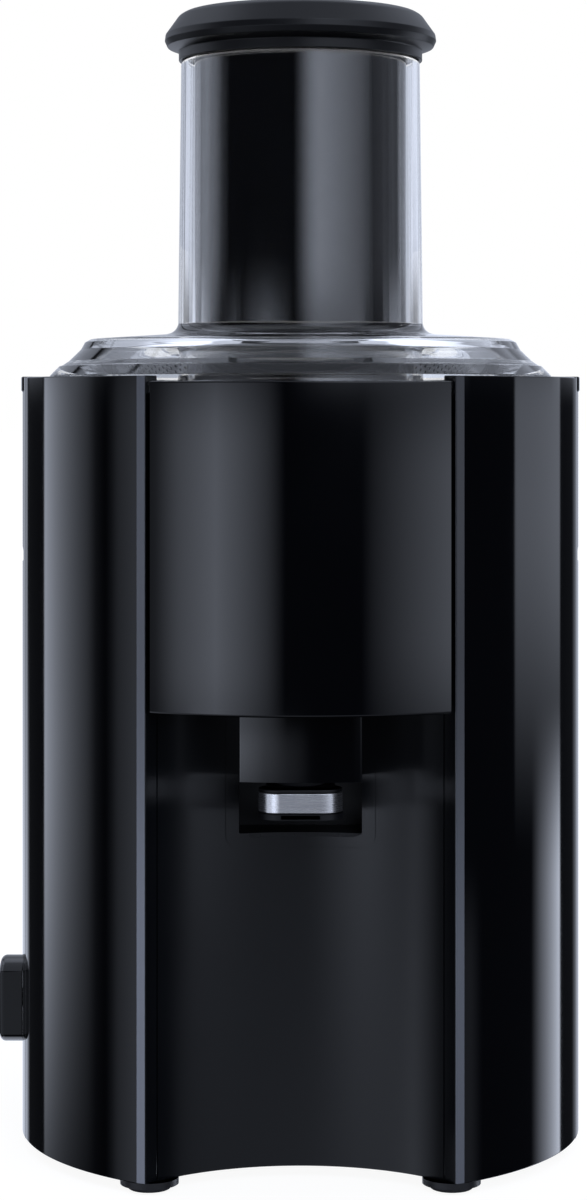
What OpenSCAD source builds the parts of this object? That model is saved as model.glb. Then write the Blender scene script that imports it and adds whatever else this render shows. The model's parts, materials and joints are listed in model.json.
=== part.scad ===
// Centrifugal juicer: a housing with a jug bay and a motor tower, a lift-out juice bowl with its
// front panel and spout, a spinning basket, a clear lid with a whole-fruit chute, a pusher, two
// side clamps and a pulp container behind. Millimetres, +Z up, the front faces -Y.
// Angles around the drive axis run from straight ahead (-Y) towards +X.

/* [Housing] */
// Outer radius of the housing about the drive axis
body_r = 104.5; // [103:0.5:107]
// Height of the housing's top edge over the table
body_top = 285; // [284.5:0.1:285.3]
// Height of the housing's lower edge over the table
body_low = 4; // [3.6:0.1:4.4]
// Thickness of the moulded housing walls
wall = 2.5; // [2.2:0.1:2.8]
// Angle of the seam between a front column and its side shell
column_to = 76; // [72:1:78]
// Width of the flat bevel on a column's inner edge
bevel_w = 2.8; // [2:0.1:3.4]
// Radius of the rear end of the plan
rear_r = 95; // [92:0.5:97]
// Distance of the rear end's centre behind the drive axis
rear_y = 95; // [92:0.5:98]
// Outer radius of the motor tower's rear wall
tower_r = 92; // [91.5:0.1:92.2]

/* [Jug bay] */
// Radius of the hollow that the jug stands in
bay_r = 70; // [69:0.5:71]
// Distance of the hollow's axis in front of the drive axis
bay_ahead = 133.6; // [133:0.1:134.2]
// Width of the rounded pad outlined on the bay wall around the spout
pad_w = 55; // [52:1:58]

/* [Front panel and spout] */
// Height of the front panel's lower edge
panel_low = 167.6; // [165:0.1:169]
// Height of the front panel's top edge
panel_top = 283; // [282:0.1:284]
// Half of the angle that the front panel spans
panel_half = 30; // [29.5:0.1:30.2]
// Width of the spout hood
hood_w = 43; // [41:0.5:43.5]
// Height of the spout hood's lower edge
hood_low = 143.6; // [142.5:0.1:144]
// Inner radius of the spout
spout_r = 7; // [6:0.5:7.5]

/* [Lid, chute and pusher] */
// Distance of the chute's axis in front of the drive axis
chute_ahead = 17.3; // [16:0.1:18]
// Outer radius of the chute at its mouth
chute_r = 44.3; // [44:0.1:44.6]
// Bore radius of the chute
chute_bore = 41.8; // [41.6:0.1:42]
// Height of the chute's mouth
chute_top = 402; // [398:1:404]
// Outer radius of the pusher
pusher_r = 39.2; // [38.5:0.1:40.5]
// Overall height, at the top of the pusher's cap
height = 420; // [418:1:422]

/* [Basket and bowl] */
// Outer radius of the juice bowl
bowl_r = 88; // [87.5:0.1:88.2]
// Radius of the sieve cone at its foot
sieve_foot = 63.5; // [63.2:0.1:64]
// Radius of the sieve cone at its rim
sieve_rim = 77; // [75:0.5:78]
// Radius of the grater disc
grater_r = 60; // [58:0.5:61]
// Rows of teeth on the grater disc
tooth_rows = 12; // [8:1:14]
// Teeth in each row
teeth_in_row = 5; // [3:1:5]
// Slits around each band of the sieve
slits = 36; // [24:4:40]

/* [Motor] */
// Radius of the motor shaft
shaft_r = 4; // [3.5:0.5:4]
// Radius of the rotor
rotor_r = 24; // [23:0.5:24]
// Radial clearance of a shaft in its bearing or of a lever on its pin
running = 0.05; // [0.03:0.01:0.08]

/* [Switch] */
// Radius of the switch knob
knob_r = 16; // [15:0.5:17]
// Height of the switch knob's axis
knob_z = 51; // [48:1:54]
// How far the knob's face stands from the drive axis
knob_reach = 113; // [112:0.5:115]

/* [Hidden] */
$fn = 96;
inner_r = body_r - wall;
seam = 0.15;
gap = 0.3;
lip = 0.5;
shift_x = (knob_reach - body_r - lip) / 2;
shift_y = (body_r - rear_y - rear_r) / 2;

// Housing
corner_y = (bay_r * bay_r - body_r * body_r - bay_ahead * bay_ahead) / (2 * bay_ahead);
corner_x = sqrt(body_r * body_r - corner_y * corner_y);
column_from = atan2(corner_x, -corner_y);
bay_face = atan2(corner_x, corner_y + bay_ahead);
bevel_turn = (column_from - bay_face) / 2;
bevel_in = bevel_w / 2 / tan((180 - column_from - bay_face) / 2);
post_r = 98.2;
post_to = 36.5;
side_turn = asin((body_r - rear_r) / rear_y);
side_end = 30;
tray_top = 7;
tower_top = 276;
window_low = 265;
window_half = 52;
deck_top = 276;
deck_h = 2.5;
cradle_low = 188;
cradle_h = 3;

boss_in = 3.4;
boss_top = 26;
screw_hole = 1.75;
screw_r = 1.7;
screw_head = 6.4;
vent_l = 44;
vents = [-27 : 9 : 27];

// Spout pocket in the bay wall
pocket_w = hood_w + 1.4;
pocket_low = 122.7;
pocket_back = -45;
pad_low = 117.5;
pad_corner = 5;
groove = 0.6;

// Bowl, spout and drip lever
bowl_wall = 2;
bowl_foot = 196;
bowl_tilt = 2.5;
floor_low = bowl_foot - 1.8;
rim_level = 279;
flange_low = deck_top + gap;
flange_r = 97;
chimney_r = 22;
floor_split = 50;
chimney_top = 216;
sill = 268;
hood_front = 90;
hood_top = 193;
hood_back = -50;
spout_y = -74;
spout_low = 146;
spout_plate = 2.6;
pin_y = -57;
pin_z = 150;
pin_r = 1.5;
lever_w = 30;
head_low = 130.5;
head_top = 141;
head_r = 8;
head_x = 6.8;
head_y = -81.6;
tab_low = 132.9;
tab_top = 139.7;
tab_t = 0.8;

// Basket
base_low = 217.5;
base_top = 221;
sieve_t = 0.6;
sieve_top = 266;
rim_top = 271;
disc_t = 1;
tooth_h = 1.6;
bands = 4;
band_pitch = 10;
hub_r = 17.5;
hub_low = 203;
coupling_low = 197;
coupling_top = 213;
coupling_r = 11;
spline_r = 14;
spline_w = 4;
splines = 6;

// Lid
lid_low = rim_level + gap;
lid_plate = 283;
lid_flange_r = 97.5;
lid_t = 2.2;
lid_r = 94.3;
lid_rear_r = 88;
lid_drop = 1.5;
plateau_r = 50;
chute_low = 231;
chute_foot = 45.4;
collar_w = 4.2;
collar_low = 299.2;

// Pusher
pusher_low = 228;
pusher_top = 408;
pusher_wall = 2.5;
cap_low = chute_top + gap;

// Clamps
clamp_half = 9.5;
slot_half = 9.8;
clamp_x = 99.4;
clamp_z = 222;
heel_r = 5.3;
clamp_in = 100.5;
hook_r = 95;
hook_low = 283.3;
clamp_top = body_top + 0.3;
lip_low = 280.2;
lug_y = 18.2;
lug_t = 3;

// Motor
plate_low = 128;
plate_h = 3;
mount_ring = 52;
mount_top = 141;
bearing_r = 11;
bearing_h = 7;
upper_z = 131;
lower_z = 20;
stack_low = 60;
stack_top = 108;
bore_r = rotor_r + 0.6;
stack_r = 42;
stack_w = 78;
coil_out = 34;
coil_over = 9;
brush_z = 39;
brush_w = 6.4;
holder_w = 12;
bracket_r = 40;
cup_r = 14.5;
lower_plate = 27;
cup_low = 15;
arm_w = 16;
arm_angles = [45, 135, 225, 315];
shaft_low = 18.5;
shaft_top = 205;
rotor_slots = 12;
commutator_r = 13;
commutator_low = 34;
commutator_top = 52;
fan_r = 36;
fan_low = 115;
fan_plate = 122;
fan_blades = 12;

// Switch knob and inlet
dish_r = 242;
dish_deep = 1.4;
bush_r = 14;
spindle_r = 3;
switch_face = 98.5;
switch_l = 24;
switch_w = 26;
knob_grip = 21.2;
inlet_y = 16;
inlet_z = 18;
inlet_r = 6;
cord_r = 3.5;

// Feet
front_foot = [53, -77.8];
rear_foot = [50, 150];
foot_r = 10.3;
foot_low = 1.8;
pad_r = 7.5;
pad_top = 3;

// Pulp container
bin_low = tray_top + gap;
bin_top = rim_level - 0.1;
bin_wall = 2.2;
bin_gap = 1.5;
bin_front = 264.5;
bin_start = side_end + 0.5;
scoop_r = 40;
scoop_out = 30;
scoop_z = 215;

// Point in the plan at a radius and an angle from straight ahead
function around(r, a) = [r * sin(a), -r * cos(a)];

// Where the screws stand that hold the base plate to the walls
column_boss = around(inner_r - boss_in, 62);
side_boss = around(inner_r - boss_in, 80);
rear_boss = around(tower_r - wall - boss_in, 150);

// Moves the drive axis to its place over the middle of the whole outline
module place() translate([shift_x, shift_y, 0]) children();

module both_sides() {
    children();
    mirror([1, 0, 0]) children();
}

// Upright curved wall about the drive axis
module arc_wall(r_out, r_in, from, to, low, high)
    rotate([0, 0, from - 90])
        rotate_extrude(angle = to - from)
            translate([r_in, low]) square([r_out - r_in, high - low]);

module tube(r_out, r_in, low, high)
    translate([0, 0, low])
        difference() {
            cylinder(r = r_out, h = high - low);
            translate([0, 0, -1]) cylinder(r = r_in, h = high - low + 2);
        }

module upright(low, high) translate([0, 0, low]) linear_extrude(high - low) children();

// Upright cylinder on the axis of the jug bay
module bay_cylinder(r, low, high)
    translate([0, -bay_ahead, low]) cylinder(r = r, h = high - low);

// Outline of the whole housing: a front circle, a rear circle and the flats between them
module egg(front, back)
    hull() {
        circle(front);
        translate([0, rear_y]) circle(back);
    }

// Everything behind a line across the plan
module behind(y, reach = 400) translate([-reach / 2, y]) square([reach, reach]);

// Cylinder along X or Y, centred on its own length
module along_x(r, length) rotate([0, 90, 0]) cylinder(r = r, h = length, center = true);
module along_y(r, length) rotate([90, 0, 0]) cylinder(r = r, h = length, center = true);

module screw_boss(at) translate([at[0], at[1], 0]) tube(4, screw_hole, tray_top, boss_top);

// ---- Housing ----

module column() {
    difference() {
        arc_wall(body_r, post_r, column_from - 2, column_to, body_low, body_top);
        arc_wall(inner_r, post_r - 1, post_to, column_to + 1, body_low - 1, body_top + 1);
        bay_cylinder(bay_r, 0, body_top + 1);
        translate([corner_x, corner_y, 0])
            rotate([0, 0, bevel_turn])
                translate([-6, bevel_in - 10, 0]) cube([12, 10, body_top + 1]);
    }
    screw_boss(column_boss);
}

module front_right_column() color("#15161a") column();
module front_left_column() color("#15161a") mirror([1, 0, 0]) column();

// Plan of a side wall: round as far as the front circle's tangent point, then flat
function flat_x(r) = (r - side_end * sin(side_turn)) / cos(side_turn);
function side_arc(r, from, to) = [for (i = [0 : 16]) around(r, from + (to - from) * i / 16)];

module side_plan()
    polygon(concat(
        side_arc(body_r, column_to + seam, 90 + side_turn),
        [[flat_x(body_r), side_end], [flat_x(inner_r), side_end]],
        side_arc(inner_r, 90 + side_turn, column_to + seam)
    ));

// Ear on each side of the clamp's slot, which holds the clamp's pin
module clamp_ears()
    for (y = [-lug_y - lug_t, lug_y])
        translate([clamp_x - 4.4, y, clamp_z - 4]) cube([6, lug_t, 8]);

module side_shell() {
    difference() {
        union() {
            difference() {
                upright(body_low, body_top) side_plan();
                arc_wall(body_r + 2, inner_r - 2, 90 - slot_half, 90 + slot_half,
                    clamp_z - heel_r - gap, body_top + 1);
            }
            clamp_ears();
        }
        translate([clamp_x, 0, clamp_z]) along_y(pin_r, 2 * (lug_y + lug_t));
    }
    screw_boss(side_boss);
}

// Shallow dish and bushing for the switch knob, on a shell turned to the right
module knob_dish()
    translate([body_r - dish_deep + dish_r, 0, knob_z]) sphere(r = dish_r, $fn = 180);

module left_side_shell()
    color("#15161a") mirror([1, 0, 0])
        difference() {
            union() {
                side_shell();
                translate([inner_r - 0.5, 0, knob_z]) along_x(bush_r, 6);
            }
            knob_dish();
            translate([inner_r, 0, knob_z]) along_x(spindle_r + 0.6, 30);
        }

module right_side_shell()
    color("#15161a")
        difference() {
            side_shell();
            translate([inner_r, inlet_y, inlet_z]) along_x(inlet_r, 20);
        }

// Rubber gland that a mains lead would pass through, flush with the side
module cord_inlet()
    color("#202020")
        translate([0, inlet_y, inlet_z])
            difference() {
                union() {
                    translate([inner_r - 0.9, 0, 0]) along_x(inlet_r, 4);
                    translate([inner_r - 4.4, 0, 0]) along_x(inlet_r + 3, 3);
                }
                translate([inner_r, 0, 0]) along_x(cord_r, 30);
            }

// Concave wall of the jug bay, with the pocket that the spout hood lifts out of
module bay_wall()
    color("#121317") {
        difference() {
            bay_cylinder(bay_r + wall, body_low, cradle_low);
            bay_cylinder(bay_r, 0, cradle_low + 1);
            difference() {
                translate([0, 0, -1]) cylinder(r = 300, h = 400);
                translate([0, 0, -2]) cylinder(r = post_r - seam, h = 402);
            }
            translate([-pocket_w / 2, -100, pocket_low]) cube([pocket_w, 60, 100]);
            intersection() {
                pad_groove();
                bay_cylinder(bay_r + groove, 0, 200);
            }
        }
        spout_pocket();
    }

// Rounded rectangle outlined around the spout pocket
module pad_shape(grow)
    translate([0, pad_low + 40])
        offset(r = pad_corner + grow)
            square([pad_w - 2 * pad_corner, 80 - 2 * pad_corner], center = true);

module pad_groove()
    translate([0, -40, 0])
        rotate([90, 0, 0])
            linear_extrude(40)
                difference() {
                    pad_shape(0, $fn = 32);
                    pad_shape(-groove, $fn = 32);
                }

module spout_pocket() {
    out = pocket_w / 2 + 2;
    difference() {
        translate([-out, pocket_back - 17, pocket_low - 2])
            cube([2 * out, 19, cradle_low - pocket_low + 2]);
        translate([-pocket_w / 2, pocket_back - 30, pocket_low])
            cube([pocket_w, 30, 100]);
        bay_cylinder(bay_r + wall - 0.5, 0, cradle_low + 1);
    }
}

// Rear wall of the motor tower and its two returns to the side shells
module rear_cover() {
    color("#15161a") {
        difference() {
            union() {
                difference() {
                    tube(tower_r, tower_r - wall, tray_top, tower_top);
                    translate([-200, -400 + side_end - wall / 2, 0]) cube([400, 400, 400]);
                }
                both_sides()
                    translate([tower_r - 6, side_end - wall, tray_top])
                        cube([flat_x(inner_r) - tower_r + 6, wall, tower_top - tray_top]);
            }
            arc_wall(tower_r + 1, tower_r - wall - 1, 180 - window_half, 180 + window_half,
                window_low, tower_top + 1);
        }
        both_sides() screw_boss(rear_boss);
    }
}

// Ledge that the bowl's flange rests on
module top_deck()
    color("#1b1c20")
        difference() {
            tube(inner_r - 0.03, bowl_r + 0.6, deck_top - deck_h, deck_top);
            upright(0, 300)
                polygon([[0, 0], around(300, -post_to - 0.1), around(300, post_to + 0.1)]);
            translate([-200, side_end - wall, 0]) cube([400, 200, 300]);
            both_sides()
                arc_wall(inner_r + 1, clamp_in - 1.2, 90 - slot_half, 90 + slot_half, 270, 280);
        }

// Floor under the bowl, which closes the motor space and carries the motor
module bowl_cradle()
    color("#1b1c20") {
        difference() {
            union() {
                translate([0, 0, cradle_low])
                    difference() {
                        cylinder(r = inner_r - 0.03, h = cradle_h);
                        translate([-200, side_end - wall, -1]) cube([400, 200, 10]);
                    }
                translate([0, 0, cradle_low]) cylinder(r = tower_r - wall, h = cradle_h);
                for (a = [45 : 90 : 315])
                    rotate([0, 0, a])
                        translate([mount_ring, 0, mount_top])
                            cylinder(r = 6, h = cradle_low - mount_top + 1);
            }
            bay_cylinder(bay_r, 0, 300);
            both_sides()
                arc_wall(inner_r + 1, post_r - 0.1, column_from - 3, post_to + 0.1, 180, 200);
            translate([-pocket_w / 2, -100, 180]) cube([pocket_w, 100 + pocket_back, 30]);
            translate([0, 0, 180]) cylinder(r = 9, h = 20);
            for (a = [45 : 90 : 315])
                rotate([0, 0, a])
                    translate([mount_ring, 0, mount_top - 1]) cylinder(r = 2, h = 14);
        }
    }

// Base plate: closes the motor space from below and carries the pulp container behind
module base_tray()
    color("#1b1c20")
        difference() {
            union() {
                upright(body_low, tray_top) {
                    difference() {
                        union() {
                            egg(inner_r - seam, rear_r - wall);
                            intersection() {
                                egg(body_r, rear_r);
                                behind(side_end + seam);
                            }
                        }
                        translate([0, -bay_ahead]) circle(bay_r + wall + seam);
                        both_sides() post_plan();
                    }
                }
                for (foot = [front_foot, rear_foot])
                    both_sides()
                        translate([foot[0], foot[1], foot_low])
                            cylinder(r = foot_r, h = body_low - foot_low);
            }
            for (foot = [front_foot, rear_foot])
                both_sides() translate([foot[0], foot[1], 0]) cylinder(r = pad_r, h = pad_top);
            for (at = [column_boss, side_boss, rear_boss])
                both_sides()
                    translate([at[0], at[1], 0]) {
                        cylinder(r = screw_hole, h = 10);
                        cylinder(d = screw_head + 0.4, h = body_low + 1.6);
                    }
            for (x = vents)
                translate([x - 1.5, 4 - vent_l / 2, 0]) cube([3, vent_l, 10]);
        }

// Plan of a column's corner post, left free by the plates around it
module post_plan()
    polygon([
        around(post_r - seam, column_from - 4), around(body_r + 4, column_from - 4),
        around(body_r + 4, post_to + 0.2), around(post_r - seam, post_to + 0.2)
    ]);

module foot_pads()
    color("#2a2a2c")
        for (foot = [front_foot, rear_foot])
            both_sides() translate([foot[0], foot[1], 0]) cylinder(r = pad_r, h = pad_top);

module base_screws()
    color("silver")
        for (at = [column_boss, side_boss, rear_boss])
            both_sides()
                translate([at[0], at[1], body_low + 0.2]) {
                    cylinder(d = screw_head, h = 1.4);
                    cylinder(r = screw_r, h = 16);
                }

module clamp_pins()
    color("silver") both_sides() translate([clamp_x, 0, clamp_z]) along_y(pin_r, 2 * lug_y + 2 * lug_t);

// Safety switch that the right clamp's plate stands against when it is shut
module interlock_switch()
    color("#30343a")
        translate([90, -10, deck_top - deck_h - 16]) cube([8, 20, 16]);

module switch_body()
    color("#30343a")
        difference() {
            translate([-switch_face, -switch_w / 2, knob_z - switch_w / 2])
                cube([switch_l, switch_w, switch_w]);
            translate([-switch_face, 0, knob_z]) along_x(spindle_r + running, 32);
        }

// Speed control board, standing on the base plate
module speed_board()
    color("#1f5a35") {
        translate([66, -26, tray_top]) cube([1.6, 56, 48]);
        translate([58, -18, tray_top + 12]) cube([8.2, 16, 22]);
        translate([60, 6, tray_top + 10]) cube([6.2, 16, 12]);
    }

// ---- Motor ----

module motor_bracket()
    color("#9a9ea3")
        difference() {
            union() {
                translate([0, 0, plate_low]) cylinder(r = bracket_r, h = plate_h);
                for (a = arm_angles)
                    rotate([0, 0, a]) {
                        translate([20, -arm_w / 2, plate_low])
                            cube([mount_ring - 20, arm_w, plate_h]);
                        translate([mount_ring, 0, plate_low]) cylinder(r = 9, h = plate_h);
                    }
                translate([0, 0, plate_low]) cylinder(r = cup_r, h = 12);
            }
            translate([0, 0, plate_low - 1]) cylinder(r = 5.2, h = 20);
            translate([0, 0, plate_low - 1])
                cylinder(r = bearing_r, h = upper_z + bearing_h - plate_low + 1);
            for (a = arm_angles)
                rotate([0, 0, a]) translate([mount_ring, 0, 0]) cylinder(r = 2.2, h = 200);
        }

module motor_mounts()
    color("#26262a")
        for (a = arm_angles)
            rotate([0, 0, a])
                translate([mount_ring, 0, 0]) tube(8, 2.2, plate_low + plate_h, mount_top);

module motor_screws()
    color("silver")
        for (a = arm_angles)
            rotate([0, 0, a])
                translate([mount_ring, 0, plate_low - 2.4]) {
                    cylinder(r = 4, h = 2.4);
                    cylinder(r = 2, h = mount_top + 12 - plate_low);
                }

// Laminated field: a ring with a pole shoe in front and behind, open at the coil windows
module motor_stator()
    color("#6f7378")
        difference() {
            translate([0, 0, stack_low]) cylinder(r = stack_r, h = stack_top - stack_low);
            translate([0, 0, stack_low - 1]) cylinder(r = bore_r, h = 100);
            both_sides()
                arc_wall(coil_out, bore_r - 2, 50, 130, stack_low - 1, stack_top + 1);
            both_sides()
                translate([stack_w / 2, -50, stack_low - 1]) cube([20, 100, 60]);
        }

module stator_coils()
    color("#b06a35")
        both_sides()
            arc_wall(coil_out, bore_r + 0.8, 52, 128, stack_low - coil_over, stack_top + 5);

// Lower end plate with the bearing cup, hung from the stack by two legs
module lower_bracket()
    color("#9a9ea3")
        difference() {
            union() {
                translate([0, 0, lower_plate]) cylinder(r = bracket_r, h = plate_h);
                translate([0, 0, cup_low]) cylinder(r = cup_r, h = lower_plate - cup_low + 1);
                for (y = [-bracket_r, bracket_r - 6])
                    translate([-5, y, lower_plate + 2])
                        cube([10, 6, stack_low - lower_plate - 2]);
            }
            translate([0, 0, cup_low + 3]) cylinder(r = bearing_r, h = 9);
            translate([0, 0, cup_low + 3]) cylinder(r = 9, h = 20);
        }

module bearing(low)
    color("#c8ccd0") tube(bearing_r, shaft_r + running, low, low + bearing_h);

module upper_bearing() bearing(upper_z);
module lower_bearing() bearing(lower_z);

module brush_holders()
    color("#a88a4a")
        both_sides()
            difference() {
                translate([commutator_r + 1, -holder_w / 2, 30]) cube([20, holder_w, 20]);
                translate([commutator_r, -brush_w / 2, brush_z]) cube([30, brush_w, 8]);
            }

module carbon_brushes()
    color("#3a3a3a")
        both_sides()
            translate([commutator_r + 0.4, -brush_w / 2, brush_z]) cube([15, brush_w, 8]);

module shaft_seal()
    color("#26262a")
        rotate_extrude()
            polygon([
                [shaft_r + 0.4, cradle_low], [9, cradle_low],
                [9, cradle_low + cradle_h], [12, cradle_low + cradle_h],
                [12, cradle_low + cradle_h + 1.5], [7, cradle_low + cradle_h + 3],
                [shaft_r + 0.4, cradle_low + cradle_h + 3]
            ]);

module motor_shaft()
    color("#c8ccd0")
        translate([0, 0, shaft_low]) cylinder(r = shaft_r, h = shaft_top - shaft_low);

module rotor_core()
    color("#7a7e84")
        difference() {
            tube(rotor_r, shaft_r, stack_low, stack_top);
            for (i = [0 : rotor_slots - 1])
                rotate([0, 0, i * 360 / rotor_slots])
                    translate([rotor_r - 7, -1.2, stack_low - 1]) cube([10, 2.4, 60]);
        }

module commutator()
    color("#b87333") tube(commutator_r, shaft_r, commutator_low, commutator_top);

module cooling_fan()
    color("#3b3f45")
        difference() {
            union() {
                translate([0, 0, fan_plate]) cylinder(r = fan_r, h = 2);
                translate([0, 0, fan_low]) cylinder(r = 8, h = 8);
                for (i = [0 : fan_blades - 1])
                    rotate([0, 0, i * 360 / fan_blades])
                        translate([7, -0.8, fan_low]) cube([fan_r - 9, 1.6, 8]);
            }
            translate([0, 0, fan_low - 5]) cylinder(r = shaft_r, h = 20);
        }

// Star-shaped plan shared by the coupling and the basket's socket
module splined(r, tip, width, low, high) {
    translate([0, 0, low]) cylinder(r = r, h = high - low);
    for (i = [0 : splines - 1])
        rotate([0, 0, i * 360 / splines])
            translate([r - 3, -width / 2, low]) cube([tip - r + 3, width, high - low]);
}

module drive_coupling()
    color("#d9d9d4")
        difference() {
            splined(coupling_r, spline_r, spline_w, coupling_low, coupling_top);
            translate([0, 0, coupling_low - 1])
                cylinder(r = shaft_r, h = shaft_top - coupling_low + 1);
        }

// ---- Basket ----

module basket_hub()
    color("#2a2c30")
        difference() {
            union() {
                translate([0, 0, base_low]) cylinder(r = sieve_foot + 1, h = base_top - base_low);
                translate([0, 0, hub_low]) cylinder(r = hub_r, h = base_low - hub_low + 1);
            }
            splined(coupling_r + gap, spline_r + gap, spline_w + 2 * gap, hub_low - 1,
                coupling_top + 0.6);
        }

// Steel disc with rows of raised teeth, each swept back a little from the last
module grater_disc()
    color("#c9cdd2") {
        difference() {
            translate([0, 0, base_top]) cylinder(r = grater_r, h = disc_t);
            translate([0, 0, base_top - 1]) cylinder(r = 3, h = 5);
        }
        for (row = [0 : tooth_rows - 1], n = [0 : teeth_in_row - 1])
            rotate([0, 0, row * 360 / tooth_rows + n * 7])
                translate([14 + n * 9.5, 0, base_top + disc_t - 0.4]) grater_tooth();
    }

module grater_tooth()
    rotate([90, 0, 0])
        linear_extrude(1.2, center = true)
            polygon([[-2.6, 0], [2.6, 0], [0, tooth_h + 0.4]]);

// Perforated steel cone: bands of upright slits, every other band set off by half a pitch
module sieve_cone() {
    slope = atan2(sieve_rim - sieve_foot, sieve_top - base_top);
    color("#d0d3d8")
        difference() {
            rotate_extrude()
                polygon([
                    [sieve_foot - sieve_t, base_top], [sieve_foot, base_top],
                    [sieve_rim, sieve_top], [sieve_rim - sieve_t, sieve_top]
                ]);
            for (b = [0 : bands - 1], i = [0 : slits - 1])
                rotate([0, 0, (i + (b % 2) / 2) * 360 / slits])
                    translate([
                        sieve_foot + (7.5 + b * band_pitch) * tan(slope), 0,
                        base_top + 7.5 + b * band_pitch
                    ])
                        rotate([0, slope, 0]) cube([4, 1.2, 6.5], center = true);
        }
}

module basket_rim()
    color("#2a2c30")
        rotate_extrude()
            polygon([
                [sieve_rim - 1.2, sieve_top], [sieve_rim + 3.5, sieve_top],
                [sieve_rim + 3.5, rim_top - 1], [sieve_rim + 2.5, rim_top],
                [sieve_rim - 1.2, rim_top]
            ]);

// ---- Bowl, front panel and spout ----

// Everything under a plane that falls towards the spout
module under_slope(z)
    translate([0, -bowl_r, z])
        rotate([bowl_tilt, 0, 0]) translate([-200, -50, -100]) cube([400, 400, 100]);

// Wall of the bowl, lowered behind so that the pulp can fly over it
module juice_bowl()
    color("#1b1c20")
        difference() {
            tube(bowl_r, bowl_r - bowl_wall, 185, flange_low);
            under_slope(floor_low);
            pulp_window();
        }

// Slab that falls towards the spout, the whole floor of the bowl in one
module floor_slab()
    difference() {
        under_slope(bowl_foot + 0.7);
        under_slope(floor_low);
    }

// Block that parts the spout's plate from the rest of the floor
module spout_block(low, high)
    translate([-hood_w / 2, -90, low]) cube([hood_w, 28, high - low]);

module bowl_floor()
    color("#1b1c20")
        difference() {
            intersection() {
                floor_slab();
                tube(bowl_r - bowl_wall, floor_split, 185, 240);
            }
            spout_block(185, 240);
        }

// Inner floor, and the collar that keeps the juice off the drive
module bowl_chimney()
    color("#1b1c20")
        union() {
            intersection() {
                floor_slab();
                tube(floor_split, chimney_r - 1, 185, 240);
            }
            difference() {
                tube(chimney_r, chimney_r - bowl_wall, 185, chimney_top);
                under_slope(floor_low);
            }
        }

// Flange that the bowl hangs by, wider in front where it carries the panel
module bowl_rim()
    color("#1b1c20")
        difference() {
            union() {
                tube(flange_r, bowl_r - bowl_wall, flange_low, rim_level);
                arc_wall(inner_r, flange_r - 1, -panel_half + 0.5, panel_half - 0.5,
                    flange_low, rim_level);
            }
            pulp_window();
        }

// Plate in the floor with the tube that leads down through the hood
module spout_tube()
    color("#1b1c20")
        difference() {
            union() {
                intersection() {
                    union() {
                        floor_slab();
                        spout_block(hood_top, hood_top + spout_plate);
                    }
                    spout_block(185, 240);
                    cylinder(r = bowl_r - bowl_wall, h = 240);
                }
                translate([0, spout_y, spout_low])
                    cylinder(r = spout_r + 2, h = hood_top + 1 - spout_low);
            }
            translate([0, spout_y, spout_low - 1]) cylinder(r = spout_r, h = 60);
        }

// Cut at the back of the bowl that lets the pulp fly into the container
module pulp_window()
    arc_wall(flange_r + 2, bowl_r - bowl_wall - 2, 180 - window_half + 2,
        180 + window_half - 2, sill, rim_level + 1);

module hood_block(grow, low, high)
    intersection() {
        translate([-hood_w / 2 - grow, -120, low])
            cube([hood_w + 2 * grow, 120 + hood_back, high - low]);
        cylinder(r = hood_front + grow, h = 300);
    }

module front_panel()
    color("#101114")
        union() {
            arc_wall(body_r, inner_r, -panel_half, panel_half, panel_low, panel_top);
            difference() {
                intersection() {
                    bay_cylinder(bay_r - gap, 170, 172.5);
                    cylinder(r = inner_r + 0.5, h = 300);
                    upright(0, 300)
                        polygon([[0, 0], around(150, -panel_half), around(150, panel_half)]);
                }
                hood_block(0, 100, 200);
            }
            for (a = [-20, 20])
                rotate([0, 0, a])
                    translate([-1, -inner_r - 0.5, 198])
                        cube([2, inner_r - bowl_r - 0.2, flange_low - 198]);
        }

module spout_hood()
    color("#101114")
        difference() {
            hood_block(0, hood_low, hood_top);
            hood_block(-2, hood_low - 1, hood_top - 2);
            translate([-hood_w / 2 + 2, hood_back - 4, hood_low - 1])
                cube([hood_w - 4, 10, 24]);
            translate([0, spout_y, hood_top - 10]) cylinder(r = spout_r + 2, h = 20);
            translate([0, pin_y, pin_z]) along_x(pin_r, hood_w - 2);
        }

module lever_pin() color("silver") translate([0, pin_y, pin_z]) along_x(pin_r, hood_w - 2);

module head_plan(r)
    translate([0, head_y])
        hull()
            for (x = [-head_x, head_x])
                translate([x, 0]) circle(r, $fn = 48);

module drip_lever()
    color("#0c0c0e")
        difference() {
            union() {
                upright(head_low, head_top) head_plan(head_r - tab_t);
                upright(head_low, tab_low - 0.4) head_plan(head_r + 0.2);
                translate([-12, -82, 138.5]) cube([24, 29, 3]);
                translate([-12, pin_y - 2, 139]) cube([24, 4, pin_z - 139]);
                translate([0, pin_y, pin_z]) along_x(3.5, lever_w);
            }
            translate([0, pin_y, pin_z]) along_x(pin_r + running, lever_w + 2);
        }

module lever_tab()
    color("#c6c8cc")
        upright(tab_low, tab_top)
            difference() {
                head_plan(head_r);
                head_plan(head_r - tab_t);
                translate([-30, head_y - head_r / 2]) square([60, 30]);
            }

module drip_seal()
    color("#505256")
        translate([0, spout_y, head_top + 0.5]) cylinder(r = 8.4, h = spout_low - head_top - 0.8);

// ---- Lid and pusher ----

// Outside of the lid as a solid of revolution; drop lowers its top
module lid_outside(r, drop)
    rotate_extrude()
        polygon([
            [0, lid_low], [r, lid_low], [r, 285.7], [r - 3.8, 289.5], [r - 11.6, 295.5],
            [r - 13.1, 298.2 - drop], [r - 15.2, 299.3 - drop], [plateau_r, 301.2 - drop],
            [0, 301.6 - drop]
        ]);

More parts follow.
